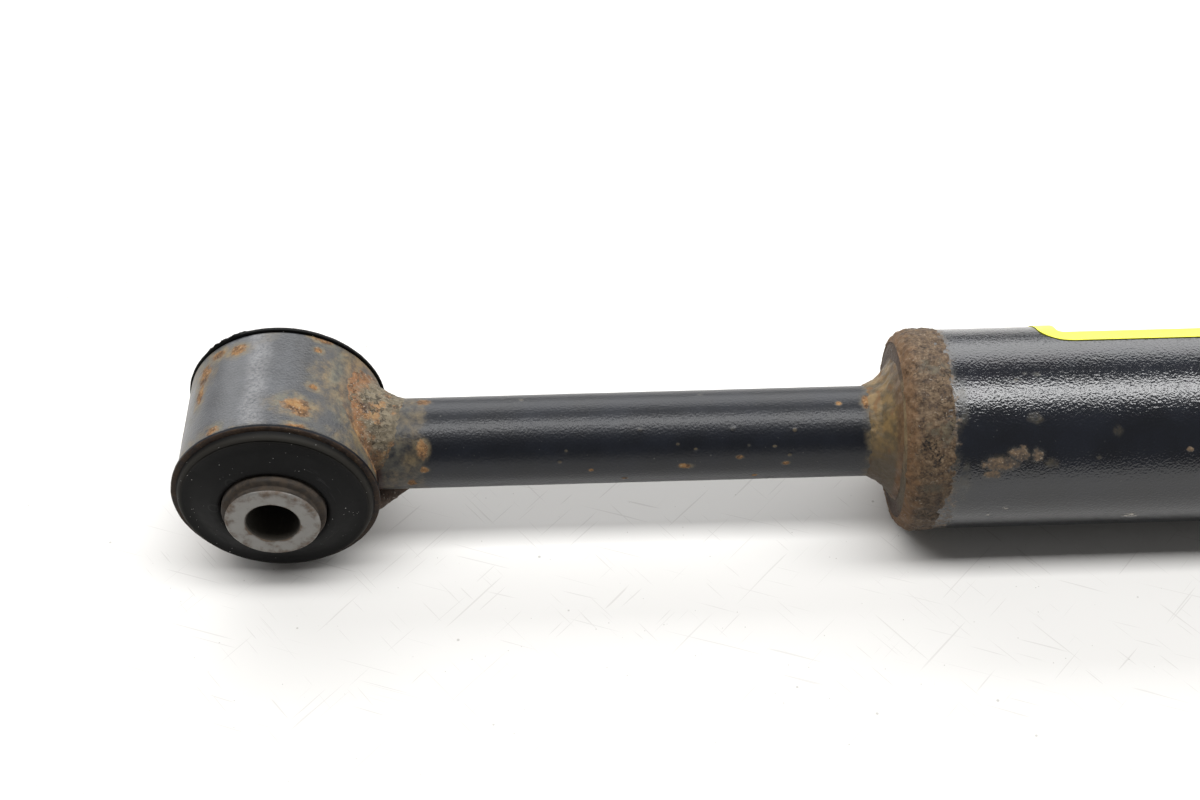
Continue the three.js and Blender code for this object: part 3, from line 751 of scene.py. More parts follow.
def fillet_finish():
    """Smooth olive weld between tube and cap with orange streaks."""
    f = Finish("fillet_film", 0.4)
    spot = f.spot()
    turned = round_part(f, spot, 1.0)[2]
    x, y, z = f.split(spot)
    radius = distance(y, z)
    patchy = f.grain(spot, 3.6, 4, 0.6)
    shade = f.mix(patchy.eased(0.35, 0.62), (0.185, 0.12, 0.046), (0.075, 0.055, 0.028))
    streak = worn(f, spot, f.grain(f.vector("MULTIPLY", spot, (1, 0.45, 0.45)), 2.2, 4), 0.52, 0.7, 1.0, 0.3)
    shade = f.mix(streak * 0.7, shade, (0.15, 0.072, 0.026))
    underside = turned.eased(50, 5)
    shadow = f.mix(patchy.eased(0.4, 0.6), (0.022, 0.019, 0.014), (0.055, 0.037, 0.02))
    shade = f.mix(underside * 0.75, shade, shadow)
    crease = x.eased(CAP.start - 1.6, CAP.start - 0.4) * turned.eased(110, 70)
    shade = f.mix(crease * 0.6, shade, (0.16, 0.07, 0.024))
    outer = radius.eased(17.2, 19.5)
    shade = f.mix(outer * 0.6, shade, rust_colour(f, spot))
    height = f.grain(spot, 2.4, 5, 0.6) * 0.8 + f.grain(spot, 0.5, 3) * 0.2
    f.set(base_color=shade, roughness=0.55 + streak * 0.2, normal=f.relief(height, 0.4))
    return f.material


def cap_finish(colour):
    """Pressed cap: smooth olive film on its face, dark rust in the hollows, brown crust over its corner."""
    f = Finish("cap_crust", 0.35)
    spot = f.spot()
    y, z = f.split(spot)[1:]
    radius = distance(y, z)
    turned = round_part(f, spot, SHELL_TUBE.radius)[2]
    face = radius.eased(26.4, 25.2)
    shade = crust(f, spot, 0.02)
    patchy = f.grain(spot, 4.2, 5, 0.62)
    olive = f.mix(patchy.eased(0.32, 0.62), (0.09, 0.06, 0.03), (0.19, 0.135, 0.066))
    # painted shade: the olive film darkened on the cap's lower side
    olive = f.mix(turned.eased(50, 5) * 0.8, olive, (0.055, 0.045, 0.031))
    shade = f.mix(face * 0.85, shade, olive)
    crescents = turned.eased(70, 95).highest(turned.eased(-12, -34)) * radius.eased(18.8, 20.4) * face
    shade = f.mix(crescents * 0.85, shade, f.mix(patchy, (0.014, 0.007, 0.005), (0.055, 0.024, 0.013)))
    left = f.split(f.vector("SUBTRACT", spot, (173.5, -26.7, -7.0)))
    window = 1 - f.vector("LENGTH", f.join(left[0] * 0.2, left[2] * 0.24), out="Value")
    paint = worn(f, spot, window, 0.0, 0.25, 2.5, 0.5)
    shade = f.mix(paint, shade, tuple(c * 3 + 0.015 for c in colour))
    f.set(base_color=shade)
    return f.material


def flange_finish(colour):
    """Painted steel flange of the bush with a rusted edge."""
    f = Finish("flange_paint", 0.12)
    spot = f.spot()
    y = f.split(spot)[1]
    edge = y.eased(SHELL.near + 0.55, SHELL.near + 0.25) * (f.grain(spot, 3.0, 4, 0.6) + 0.25).eased(0.4, 0.8)
    rust = worn(f, spot, edge * 0.5, 0.4, 0.8, 1.4, 0.5)
    shade = painted(f, spot, tuple(c * 0.7 for c in colour), rust, edge * 0.15, 0.06, 0.42)
    f.set(base_color=f.mix(edge * 0.55, shade, (0.05, 0.03, 0.018)))
    return f.material


def rubber_finish(name, colour, rough=0.55):
    """Moulded rubber with faint dust, fine grain and a few white specks."""
    f = Finish(name, 0.25)
    spot = f.spot()
    dust = f.grain(spot, 6, 4, 0.6).eased(0.4, 0.85)
    fine = f.grain(spot, 0.35, 2)
    shade = f.mix(dust * 0.5 + fine * 0.2, colour, tuple(c * 2.0 + 0.004 for c in colour))
    specks = f.specks(spot, 0.16, 4.5).highest(f.specks(spot, 0.09, 2.2))
    shade = f.mix(specks * 0.75, shade, (0.42, 0.42, 0.4))
    height = f.grain(spot, 0.5, 3, 0.6) * 0.6 + specks * 0.4
    f.set(base_color=shade, roughness=rough + dust * 0.16, normal=f.relief(height, 0.03))
    return f.material


def bush_rubber_finish(colour):
    """The bush's rubber: black face with a lighter worn ridge at its rim and small moulded rings."""
    f = Finish("bush_rubber_skin", 0.1)
    spot = f.spot()
    x, _, z = f.split(spot)
    radius = distance(x, z)
    dust = f.grain(spot, 5, 4, 0.6).eased(0.4, 0.85)
    fine = f.grain(spot, 0.35, 2)
    shade = f.mix(dust * 0.35 + fine * 0.2, colour, tuple(c * 1.9 + 0.003 for c in colour))
    ridge = radius.eased(24.4, 25.4) * radius.eased(26.6, 26.0)
    shade = f.mix(ridge * 0.3, shade, (0.05, 0.045, 0.036))
    # painted shade in the groove between the rubber and the flange
    groove = radius.eased(26.1, 26.6) * radius.eased(27.2, 26.9)
    shade = f.mix(groove * 0.8, shade, (0.004, 0.004, 0.004))
    marks = None
    for u, v in ((-9.7, 11.8), (-15.9, 1.9)):
        reach = f.vector("LENGTH", f.vector("SUBTRACT", f.join(x, 0.0, z), (u, 0, v)), out="Value")
        ring = reach.eased(1.0, 1.3) * reach.eased(1.75, 1.45)
        marks = ring if marks is None else marks.highest(ring)
    scratch = f.grain(f.join(radius * 5.5, z * 0.12, x * 0.12), 1.0, 3).eased(0.64, 0.7)
    scratch = scratch * radius.eased(15.4, 16.2) * radius.eased(20.5, 18.5) * x.eased(4, 12)
    specks = f.specks(spot, 0.19, 7.5).highest(f.specks(spot, 0.12, 3.5))
    specks = specks * f.grain(spot, 9, 2).eased(0.4, 0.6)
    shade = f.mix(specks * 0.8, shade, (0.45, 0.45, 0.43))
    shade = f.mix(scratch * 0.35 + marks * 0.1, shade, (0.08, 0.08, 0.08))
    height = f.grain(spot, 0.5, 3, 0.6) * 0.4 + specks * 0.3 + marks * 0.8 - scratch * 0.4
    f.set(base_color=shade, roughness=0.56 + dust * 0.14, normal=f.relief(height, 0.035))
    return f.material


def sleeve_finish(colour):
    """Machined steel: bright turned end face with rust stains, brown collar and a dark bore."""
    f = Finish("sleeve_steel")
    spot = f.spot()
    x, y, z = f.split(spot)
    radius = distance(x, z)
    end = y.math("ABSOLUTE")
    face = end.eased(INNER.far - 0.9, INNER.far - 0.5)
    turning = f.grain(f.join(radius, 0.0, 0.0), 0.16, 2)
    steel = f.mix(turning * 0.5 + f.grain(spot, 2.2, 4) * 0.5, tuple(c * 0.72 for c in colour), colour)
    stain = (f.grain(spot, 3.6, 5, 0.66) - 0.5) * 1.5
    stain = stain + radius.eased(9.8, 12.2) * 0.2 + radius.eased(8.2, 7.2) * 0.36
    stain = stain.eased(0.0, 0.42)
    brown = f.mix(f.grain(spot, 1.0, 4), (0.05, 0.03, 0.018), (0.15, 0.1, 0.062))
    collar = f.mix(f.grain(spot, 1.8, 5, 0.65).eased(0.35, 0.65), (0.02, 0.015, 0.011), (0.05, 0.037, 0.026))
    shade = f.mix(stain * 0.85, steel, brown)
    shade = f.mix(1 - face, shade, collar)
    bore = radius.eased(BORE_RADIUS + 0.45, BORE_RADIUS + 0.1)
    shade = f.mix(bore, shade, (0.03, 0.025, 0.018))
    metal = face * (1 - stain * 0.8) * (1 - bore) * 0.5
    height = turning * 0.3 + f.grain(spot, 0.9, 4, 0.7) * (0.3 + stain * 0.4)
    rough = 0.42 + stain * 0.35 + (1 - face) * 0.3
    f.set(base_color=shade, metallic=metal, roughness=rough, normal=f.relief(height, 0.05))
    return f.material


def label_finish(border, middle):
    """Printed film: a coloured border round a plain light field."""
    f = Finish("label_film")
    spot = f.spot()
    x, turned = round_part(f, spot, STICKER.radius)[1:]
    turned = turned + (1 - turned.eased(-91, -89)) * 360.0
    centre_x = (STICKER.start + STICKER.end) / 2
    reach = f.vector("ABSOLUTE", f.join(x - centre_x, (turned - LABEL_MIDDLE) * (TAU * LABEL_RADIUS / 360)))
    half = ((STICKER.end - STICKER.start) / 2 - LABEL_BORDER, LABEL_SPAN / 2 - LABEL_BORDER)
    inner = f.vector("MAXIMUM", f.vector("SUBTRACT", reach, (half[0] - 2, half[1] - 2, 0)), (0, 0, 0))
    rim = f.vector("LENGTH", inner, out="Value").eased(1.85, 2.15)
    worn_film = f.grain(spot, 3.0, 5, 0.6)
    field = f.mix(worn_film.eased(0.55, 0.8) * 0.3, middle, tuple(c * 0.8 for c in middle))
    shade = f.mix(rim, field, f.mix(worn_film.eased(0.5, 0.8) * 0.25, border, tuple(c * 0.7 for c in border)))
    f.set(base_color=shade, roughness=0.34 + worn_film * 0.16, normal=f.relief(f.grain(spot, 1.4, 3), 0.02))
    return f.material


def metal_finish(name, colour, rough, stain_colour, stain, size=3.0):
    """Plain or plated steel with fine marks and a share of stains."""
    f = Finish(name)
    spot = f.spot()
    tone = f.grain(spot, size * 2, 4, 0.6)
    shade = f.mix(tone.eased(0.3, 0.7), tuple(c * 0.78 for c in colour), colour)
    marks = (f.grain(spot, size, 5, 0.65) + stain - 0.5).eased(0.1, 0.28)
    shade = f.mix(marks * 0.8, shade, stain_colour)
    height = f.grain(spot, 0.5, 3, 0.6) * 0.5 + marks * 0.5
    roughness = f.grain(spot, 1.2, 3) * 0.12 + rough + marks * 0.35
    f.set(base_color=shade, metallic=0.9 - marks * 0.7, roughness=roughness)
    f.set(normal=f.relief(height, 0.02))
    return f.material


def rod_finish(colour):
    """Chromed shaft with faint grinding rings and an oily streak; the thread is plated steel."""
    f = Finish("rod_chrome")
    spot = f.spot()
    x = f.split(spot)[0]
    rings = f.grain(f.join(x, 0.0, 0.0), 0.22, 2)
    oil = f.grain(f.vector("MULTIPLY", spot, (0.3, 1, 1)), 3.0, 4).eased(0.5, 0.75)
    stud = x.eased(LOW_CUP.start - 1, LOW_CUP.start)
    shade = f.mix(oil * 0.3, colour, tuple(c * 0.7 for c in colour))
    shade = f.mix(stud, shade, f.mix(f.grain(spot, 1.2, 4), (0.3, 0.27, 0.2), (0.45, 0.4, 0.28)))
    rough = rings * 0.06 + 0.07 + oil * 0.1 + stud * 0.3
    f.set(base_color=shade, metallic=1.0, roughness=rough, normal=f.relief(rings, 0.001))
    return f.material


def foam_finish(colour):
    """Microcellular foam: matt, finely pored skin with a darker bloom."""
    f = Finish("foam_skin")
    spot = f.spot()
    tone = f.grain(spot, 7, 4, 0.6)
    shade = f.mix(tone.eased(0.3, 0.75), tuple(c * 0.7 for c in colour), colour)
    pores = f.specks(spot, 0.22, 0.9)
    shade = f.mix(pores * 0.6, shade, tuple(c * 0.35 for c in colour))
    height = f.grain(spot, 0.4, 3) * 0.4 - pores * 0.8
    f.set(base_color=shade, roughness=0.85, normal=f.relief(height, 0.06))
    return f.material


def floor_finish(colour):
    """Pale board with fine scratches and a few specks."""
    f = Finish("floor_board", roughness=0.5)
    spot = f.spot()
    cloud = f.grain(spot, 160, 3, 0.55)
    shade = f.mix(cloud.eased(0.4, 0.8) * 0.5, colour, tuple(c * 0.96 for c in colour))
    lines = None
    for angle, size in ((0.9, 1.0), (2.3, 1.3), (0.35, 1.7)):
        values = {"Vector": spot, "Angle": angle}
        turned = f.node("ShaderNodeVectorRotate", {"rotation_type": "Z_AXIS"}, values)
        scratch = f.grain(f.vector("MULTIPLY", turned, (0.045, 1.6, 0)), size, 1, 0.4, 0.4).eased(0.7, 0.74)
        lines = scratch if lines is None else lines.highest(scratch)
    specks = f.specks(spot, 0.5, 45).highest(f.specks(spot, 0.22, 14))
    shade = f.mix(lines * 0.25, shade, (0.34, 0.32, 0.3))
    shade = f.mix(specks * 0.45, shade, (0.2, 0.18, 0.15))
    f.set(base_color=shade, normal=f.relief(f.grain(spot, 1.4, 3) + lines * 0.6, 0.01))
    return f.material


def dress(piece, material, body=None, nodes=()):
    """Gives a piece its material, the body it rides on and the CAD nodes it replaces."""
    piece.data.materials.clear()
    piece.data.materials.append(material)
    if body:
        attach(piece, body)
        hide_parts(*nodes)
    return piece


LABEL_START = 103.0
LABEL_END = 207.0
LABEL_MIDDLE = (LABEL_START + LABEL_END) / 2
LABEL_RADIUS = 27.7
LABEL_SPAN = math.radians(LABEL_END - LABEL_START) * LABEL_RADIUS
LABEL_BORDER = 5.0
LABEL_CORNER = 8.0


# ---- lower eye ----

SEAT = RING.near - 0.3
RUBBER_RIDGE = 20.8
FLANGE_THICK = 1.3


def skin_share(marks, about, radius):
    """How much rust scab stands on the skin near the marks."""

    def share(along, reach, angle):
        turned = signed(angle)
        u, v = (turned * radius, along) if about == "Y" else (along, turned * radius)
        return 0.12 + smooth(-0.15, 0.4, marked(marks, u, v))

    return share


def pressed_ring():
    near, far, inner = RING.near, RING.far, 24.3
    corners = [
        (near, inner, 0.3),
        (near, RING.radius, 0.9),
        (far, RING.radius, 0.9),
        (far, inner, 0.3),
    ]
    mould = rough_skin("Y", 0.1, 1.6, 4.0, skin_share(RING_RUST, "Y", RING.radius))
    return turn("pressed_ring", spaced(rounded(corners), 0.6), "Y", 300, mould)


def flanged_sleeve():
    corners = [
        (SEAT - FLANGE_THICK, 22.8),
        (SEAT - FLANGE_THICK, FLANGE_RADIUS, 0.5),
        (SEAT, FLANGE_RADIUS, 0.3),
        (SEAT, SHELL_RADIUS),
        (RING.far - 0.5, SHELL_RADIUS, 0.3),
        (RING.far - 0.5, 22.8),
    ]
    mould = rough_skin("Y", 0.07, 5.0, 9.0)
    return turn("flanged_sleeve", spaced(rounded(corners), 0.9), "Y", 240, mould)


def moulded_rubber():
    face, near, far = RUBBER_RIDGE, SEAT - FLANGE_THICK - 0.02, RING.far + 0.1
    shank, collar, step = 12.2, 14.3, 17.6
    swell = face + 2.6
    corners = [
        (-step, shank),
        (-step, collar),
        (-swell + 0.6, collar, 0.3),
        (-swell, collar + 0.9, 0.4),
        (-swell + 0.1, collar + 2.2, 1.0),
        (-face + 0.4, 23.2, 2.0),
        (-face, 24.4, 0.4),
        (-face, 25.7, 0.7),
        (-face + 1.3, 26.3, 0.6),
        (near, 26.5),
        (near, 22.6),
        (far, 22.6),
        (far, FAR_FLANGE_RADIUS, 0.2),
        (far + 0.9, FAR_FLANGE_RADIUS, 0.5),
        (face, 25.5, 0.9),
        (face - 0.4, 23.2, 2.0),
        (swell - 0.1, collar + 2.2, 1.0),
        (swell, collar + 0.9, 0.4),
        (swell - 0.6, collar, 0.3),
        (step, collar),
        (step, shank),
    ]

    def mould(along, radius, angle, normal):
        spot = place(along, radius, angle, "Y")
        push = 0.05 * lumps(spot, 4.0, 2.0)
        if along > 0 and radius > FAR_FLANGE_RADIUS - 0.3:
            torn = smooth(0.0, 0.35, marked([(math.radians(120), 0, 0.3, 1)], angle, 0))
            push += (0.06 + 0.55 * torn) * max(-0.3, lumps(spot, 1.3, 6.0)) + 0.22 * torn
        return along + normal[0] * min(push, 0.0), min(radius + normal[1] * push, BUMP_CAP.radius - 0.05)

    return turn("moulded_rubber", spaced(rounded(corners), 0.7), "Y", 260, mould)


def bolt_sleeve():
    end, face, collar = INNER.far, 12.2, 14.0
    half = [
        (end, BORE_RADIUS + 0.55, 0.25),
        (end, face, 0.3),
        (end - 0.6, face + 0.6, 0.3),
        (end - 1.5, face, 0.25),
        (end - 2.6, face, 0.25),
        (end - 3.2, collar, 0.5),
        (18, collar, 0.4),
        (18, 12.0),
    ]
    mirrored = [(-c[0], *c[1:]) for c in reversed(half)]
    corners = [(end - 0.5, BORE_RADIUS), *half, *mirrored, (-end + 0.5, BORE_RADIUS)]
    mould = rough_skin("Y", 0.05, 1.5, 12.0, lambda along, radius, angle: smooth(6.9, 7.6, radius))
    return turn("bolt_sleeve", spaced(rounded(corners), 0.5), "Y", 200, mould)


# ---- tube and welds ----


def on_ring(radius, angle, ring):
    """How far along the part a point at that radius and angle about X meets a ring about Y."""
    return math.sqrt(ring**2 - (radius * math.sin(angle)) ** 2)


def neck_tube():
    start, end, settle = RING.radius + 0.2, CAP.start - 0.2, 46.0
    wall_inside = TUBE.radius - TUBE_WALL
    outline = [(start, wall_inside), *spaced([(start, TUBE.radius), (end, TUBE.radius)], 0.45, False)]
    outline.append((end, wall_inside))
    share = skin_share(TUBE_RUST, "X", TUBE.radius)

    def mould(along, radius, angle, normal):
        met = on_ring(radius, angle, start)
        if along < settle:
            along = met + (along - start) / (settle - start) * (settle - met)
        if radius < TUBE.radius:
            return along, radius
        turned = signed(angle)
        spot = place(along, radius, angle, "X")
        scab = share(along, radius, angle) + smooth(37, 29, along) * 0.5
        push = 0.09 * scab * lumps(spot, 1.2, 21.0) + 0.02 * lumps(spot, 9.0, 3.0, 2)
        push += 0.16 * smooth(0.0, 0.7, marked(TUBE_BLISTERS, along, turned * TUBE.radius))
        return along, radius + push

    return turn("neck_tube", outline, "X", 220, mould)


# distance of the weld's edge from the tube's axis on the ring, and along the tube, by angle about X
UPPER_RING_EDGE = [
    (8, 12.6), (26, 13.5), (45, 15.4), (60, 16.4), (76, 17.2), (89, 18.2), (102, 19.9), (122, 21.4),
    (132, 21.6), (150, 19.6), (170, 17.4), (190, 15.0), (206, 12.7),
]
UPPER_TUBE_EDGE = [
    (8, 29.6), (16, 31.3), (33, 33.2), (52, 34.4), (78, 34.9), (104, 35.7), (130, 35.2), (160, 34.2),
    (190, 32.0), (206, 29.8),
]
LOWER_RING_EDGE = [
    (-38, 19.0), (-43, 23.0), (-50, 24.0), (-60, 24.0), (-80, 23.0), (-100, 23.0),
    (-122, 21.5), (-146, 14.5),
]
LOWER_TUBE_EDGE = [(-38, 33.2), (-46, 35.2), (-60, 35.8), (-100, 35.8), (-125, 34.4), (-146, 30.8)]


def eye_bead(name, start, end, ring_edge, tube_edge, fullness, seed):
    """A concave weld from the tube to the ring that runs out to a rounded tongue at both ends."""
    step_degrees, crest, sink = 1.4, 26, 0.25
    count = math.ceil(abs(end - start) / step_degrees)
    sections = []
    for i in range(count + 1):
        share = i / count
        degrees = start + (end - start) * share
        angle = math.radians(degrees)
        key = degrees if start > 0 else -degrees
        edges = [[(abs(a), r) for a, r in table] for table in (ring_edge, tube_edge)]
        tongue = math.sqrt(max(0.0, 1 - (1 - min(1.0, min(i, count - i) * step_degrees / 10)) ** 2))
        corner = Vector((on_ring(TUBE.radius, angle, RING.radius) - sink, TUBE.radius - sink))
        reach = TUBE.radius + (between(edges[0], key) - TUBE.radius) * tongue
        ring_toe = Vector((on_ring(min(reach, 25.5), angle, RING.radius) - sink, reach))
        tube_toe = Vector((corner[0] + (between(edges[1], key) - corner[0]) * tongue, TUBE.radius - sink))
        if i in (0, count):
            sections.append([place(corner[0], corner[1], angle, "X")])
            continue
        pull = corner.lerp((ring_toe + tube_toe) / 2, fullness)
        section = []
        for j in range(crest + 1):
            t = j / crest
            point = (1 - t) ** 2 * tube_toe + 2 * t * (1 - t) * pull + t * t * ring_toe
            bulge = math.sin(math.pi * t) ** 0.6 * tongue
            spot = place(point[0], point[1], angle, "X")
            ripple = math.sin(degrees * 0.62 + math.sin(t * 3.0) * 1.6) * 0.1
            push = 0.5 * lumps(spot, 3.0, seed) + 0.2 * lumps(spot, 1.0, seed + 5) + ripple
            toward = Vector((tube_toe[0] - ring_toe[0], 0)) + Vector((0, ring_toe[1] - tube_toe[1]))
            point = point + toward.normalized() * push * bulge
            section.append(place(point[0], point[1], angle, "X"))
        section.append(place(corner[0] - sink, corner[1] - sink, angle, "X"))
        sections.append(section)
    return loft(name, sections)


def cap_bead():
    face, inner = CAP.start + 0.1, TUBE.radius - 0.3
    corners = [
        (face - 8.2, inner),
        (face - 7.0, TUBE.radius + 0.35),
        (face - 4.4, TUBE.radius + 1.7),
        (face - 2.0, TUBE.radius + 4.0),
        (face - 0.5, TUBE.radius + 6.2),
        (face - 0.1, TUBE.radius + 6.9),
        (face + 0.2, TUBE.radius + 6.9),
        (face + 0.2, inner),
    ]

    def mould(along, radius, angle, normal):
        if along > face or radius < TUBE.radius:
            return along, radius
        spot = place(along, radius, angle, "X")
        wave = lumps(place(face, TUBE.radius, angle, "X"), 7.0, 31.0)
        degrees = math.degrees(angle)
        broad = smooth(10, 45, degrees) * smooth(128, 98, degrees) * smooth(face - 5.0, face, along)
        radius += (radius - TUBE.radius) * 0.55 * broad
        along += 0.5 * broad
        push = 0.3 * lumps(spot, 3.0, 33.0) + 0.1 * lumps(spot, 0.9, 35.0) + 0.35 * wave
        return along + normal[0] * push, radius + normal[1] * push

    return turn("cap_bead", spaced(corners, 0.35), "X", 220, mould, 60)


# ---- body ----


def pressed_cap():
    face, bend = CAP.start, 6.0
    corners = [
        (face, 0),
        *arc(face + bend, SHELL_TUBE.radius - bend, bend, 180, 90, 14),
        (CAP_END, SHELL_TUBE.radius),
        (CAP_END, SPIGOT_RADIUS),
        (CAP.end, SPIGOT_RADIUS),
        (CAP.end, 23.2),
        *arc(face + 6.5, 19.7, 3.5, 90, 180, 6),
        (face + 3, 0),
    ]
    wear = rough_skin("X", 0.2, 1.5, 41.0, lambda along, radius, angle: 0.35 + smooth(23.0, 25.0, radius))

    def mould(along, radius, angle, normal):
        if along > CAP_END - 0.5 or radius < TUBE.radius or normal[1] < -0.1:
            return along, radius
        along, reach = wear(along, radius, angle, normal)
        return along, min(reach, WELD_CROWN)

    return turn("pressed_cap", spaced(corners, 0.45, False), "X", 260, mould, 45)


# where the seam weld ends along the body, by angle about X
SEAM_EDGE = [(-180, 180.4), (-90, 179.0), (-16, 178.2), (0, 179.6), (17, 181.4), (90, 181.6), (180, 180.4)]


def cap_seam():
    end = SEAM.end
    under, crown, bend = SHELL_TUBE.radius - 0.35, WELD_CROWN - 0.15, 6.0
    centre = (CAP.start + bend, SHELL_TUBE.radius - bend)
    over = arc(*centre, bend + 0.45, 152, 100, 12)
    start = over[0][0]
    corners = [
        *arc(*centre, bend - 0.35, 98, 154, 8),
        *over,
        (SEAM.start + 1.6, crown, 0.6),
        (end - 1.4, crown - 0.1, 0.8),
        (end - 0.3, SHELL_TUBE.radius + 0.1, 0.3),
        (end, under),
    ]

    def mould(along, radius, angle, normal):
        turned = math.degrees(signed(angle))
        edge = between(SEAM_EDGE, turned) + 0.5 * lumps(place(end, 27, angle, "X"), 3.0, 51.0)
        along = start + (along - start) * (edge - start) / (end - start)
        if radius <= under and normal[1] < 0.2:
            return along, radius
        spot = place(along, radius, angle, "X")
        start_wave = smooth(start + 2.5, start, along) * 0.7 * lumps(place(start, 26, angle, "X"), 5.0, 57.0)
        push = 0.4 * lumps(spot, 3.0, 53.0) + 0.18 * lumps(spot, 1.0, 55.0)
        return along + start_wave + normal[0] * push, min(radius + normal[1] * push, BUMP_CAP.radius - 0.02)

    return turn("cap_seam", spaced(rounded(corners), 0.35), "X", 300, mould, 60)


def damper_tube():
    radius, end, bend = SHELL_TUBE.radius, SHELL_TUBE.end, 3.2
    inner = radius - BODY_WALL
    corners = [
        (SHELL_TUBE.start, inner),
        (SHELL_TUBE.start, radius),
        *arc(end - bend, radius - bend, bend, 90, 0, 8),
        (end, LIP_RADIUS),
        (end - BODY_WALL, LIP_RADIUS),
        *arc(end - bend, radius - bend, bend - BODY_WALL, 0, 90, 5),
    ]
    scab = rough_skin("X", 0.12, 1.1, 61.0, skin_share(BODY_RUST, "X", radius))

    def mould(along, reach, angle, normal):
        if reach < inner + 0.2 or normal[1] < 0.1:
            return along, reach
        turned = signed(angle)
        wave = 0.012 * lumps(place(along, reach, angle, "X"), 11.0, 63.0, 2)
        chip = 0.12 * smooth(0.0, 0.3, marked(BODY_CHIPS, along, turned * radius))
        along, reach = scab(along, reach, angle, normal)
        return along, reach + wave - chip

    return turn("damper_tube", spaced(corners, 0.7), "X", 300, mould)


def stuck_label(corner):
    """A film with rounded corners that follows the body's round skin."""
    rows, columns = 120, 90
    thick_in, thick_out = SHELL_TUBE.radius + 0.08, SHELL_TUBE.radius + 0.27
    mesh = bmesh.new()
    layers = []
    for radius in (thick_in, thick_out):
        grid = []
        for i in range(rows + 1):
            across = LABEL_SPAN * i / rows
            near_edge = min(across, LABEL_SPAN - across)
            inset = corner - math.sqrt(max(0.0, corner**2 - (corner - min(near_edge, corner)) ** 2))
            angle = math.radians(LABEL_START) + across / LABEL_RADIUS
            row = []
            for j in range(columns + 1):
                x = STICKER.start + inset + (STICKER.end - STICKER.start - 2 * inset) * j / columns
                lift = 0.03 * max(0.0, lumps(place(x, radius, angle, "X"), 6.0, 71.0))
                row.append(mesh.verts.new(place(x, radius + lift, angle, "X")))
            grid.append(row)
        layers.append(grid)
    rims = []
    for grid in layers:
        for one, two in zip(grid, grid[1:]):
            for a, b, c, d in zip(one, one[1:], two[1:], two):
                mesh.faces.new((a, b, c, d))
        right = [row[-1] for row in grid[1:]]
        left = [row[0] for row in grid[-2:0:-1]]
        rims.append([*grid[0], *right, *grid[-1][-2::-1], *left])
    bridge(mesh, *rims)
    return finished("stuck_label", mesh, 50)


# ---- upper end ----


def thread_depth(pitch):
    return 0.6134 * pitch


def plated_rod(pitch):
    """The rod with its shoulder, a run-out and a helical thread on the stud."""
    shoulder = STACK_FACE
    tip = SHAFT.end
    thread_start = tip - 30.0
    outline = [
        (SHAFT.start, 0),
        (SHAFT.start, STUD_RADIUS - 0.6),
        (SHAFT.start + 0.6, STUD_RADIUS),
        (PISTON_SHOULDER, STUD_RADIUS),
        (PISTON_SHOULDER, ROD_RADIUS - 0.5),
        (PISTON_SHOULDER + 0.5, ROD_RADIUS),
        *spaced([(PISTON_SHOULDER + 1, ROD_RADIUS), (shoulder - 1, ROD_RADIUS)], 6.0, False),
        (shoulder - 0.5, ROD_RADIUS),
        (shoulder, ROD_RADIUS - 0.5),
        (shoulder, STUD_RADIUS),
        (thread_start - 0.2, STUD_RADIUS),
        *spaced([(thread_start, STUD_RADIUS), (tip - 0.05, STUD_RADIUS)], pitch / 7, False),
        (tip, STUD_RADIUS - 1.2),
        (tip, 0),
    ]

    def mould(along, radius, angle, normal):
        if along < thread_start or radius < STUD_RADIUS - 0.01:
            return along, radius
        turn_share = (along / pitch - angle / TAU) % 1.0
        crest = smooth(0.06, 0.44, abs(turn_share - 0.5))
        fade = smooth(thread_start, thread_start + pitch, along)
        point = max(0.0, 1 - (tip - along)) * 1.0
        return along, radius - max(thread_depth(pitch) * (1 - crest) * fade, point)

    return turn("plated_rod", outline, "X", 96, mould, 40)


def bump_plate():
    wall, outer = 0.75, BUMP_CAP.radius
    top = SHELL_TUBE.end + 0.3
    crown = top + wall + 2.4
    corners = [
        (BUMP_CAP.start, outer - wall),
        (BUMP_CAP.start, outer, 0.25),
        *arc(crown - 3, outer - 3, 3, 90, 0, 10),
        (crown, 19.4, 0.8),
        (top + wall, 17.5, 0.8),
        (top + wall, 8.6, 0.25),
        (top, 8.6),
        (top, 17.9, 0.6),
        (top + 2.4, 19.4, 0.6),
        *arc(crown - 3, outer - 3, 3 - wall, 0, 90, 6),
    ]
    return turn("bump_plate", spaced(rounded(corners), 0.8), "X", 200, None, 40)


def foam_stop():
    inner, start, end = ROD_RADIUS + 0.3, STOP.start, STOP.end
    corners = [
        (start, inner, 0.5),
        (start, 14, 1.2),
        (start + 4, 17.6, 1.6),
        (start + 11, 17.8, 2.2),
        (start + 15, 15, 2.2),
        (start + 21, 20.4, 2.4),
        (start + 29, 20.6, 2.4),
        (start + 33, 16.8, 2.2),
        (start + 39, 22.6, 2.6),
        (start + 47, 22.8, 2.4),
        (start + 51, 19.4, 1.8),
        (start + 55, 21, 1.6),
        (end, 21, 0.8),
        (end, inner, 0.5),
    ]
    mould = rough_skin("X", 0.08, 3.0, 81.0)
    piece = turn("foam_stop", spaced(rounded(corners, 7), 0.8), "X", 200, mould, 60)
    return piece


def cup(name, seat, way):
    hole = STUD_RADIUS + 0.2
    corners = [
        (0, hole, 0.15),
        (0, 17.4, 0.9),
        (1.8, 20.8, 0.9),
        (4.6, 21.6, 0.25),
        (4.6, 19.8, 0.25),
        (3.4, 19.4, 0.7),
        (2.2, 16.8, 0.7),
        (2.2, hole, 0.15),
    ]
    corners = [(seat + way * c[0], *c[1:]) for c in corners]
    return turn(name, spaced(rounded(corners), 0.7), "X", 180, None, 40)


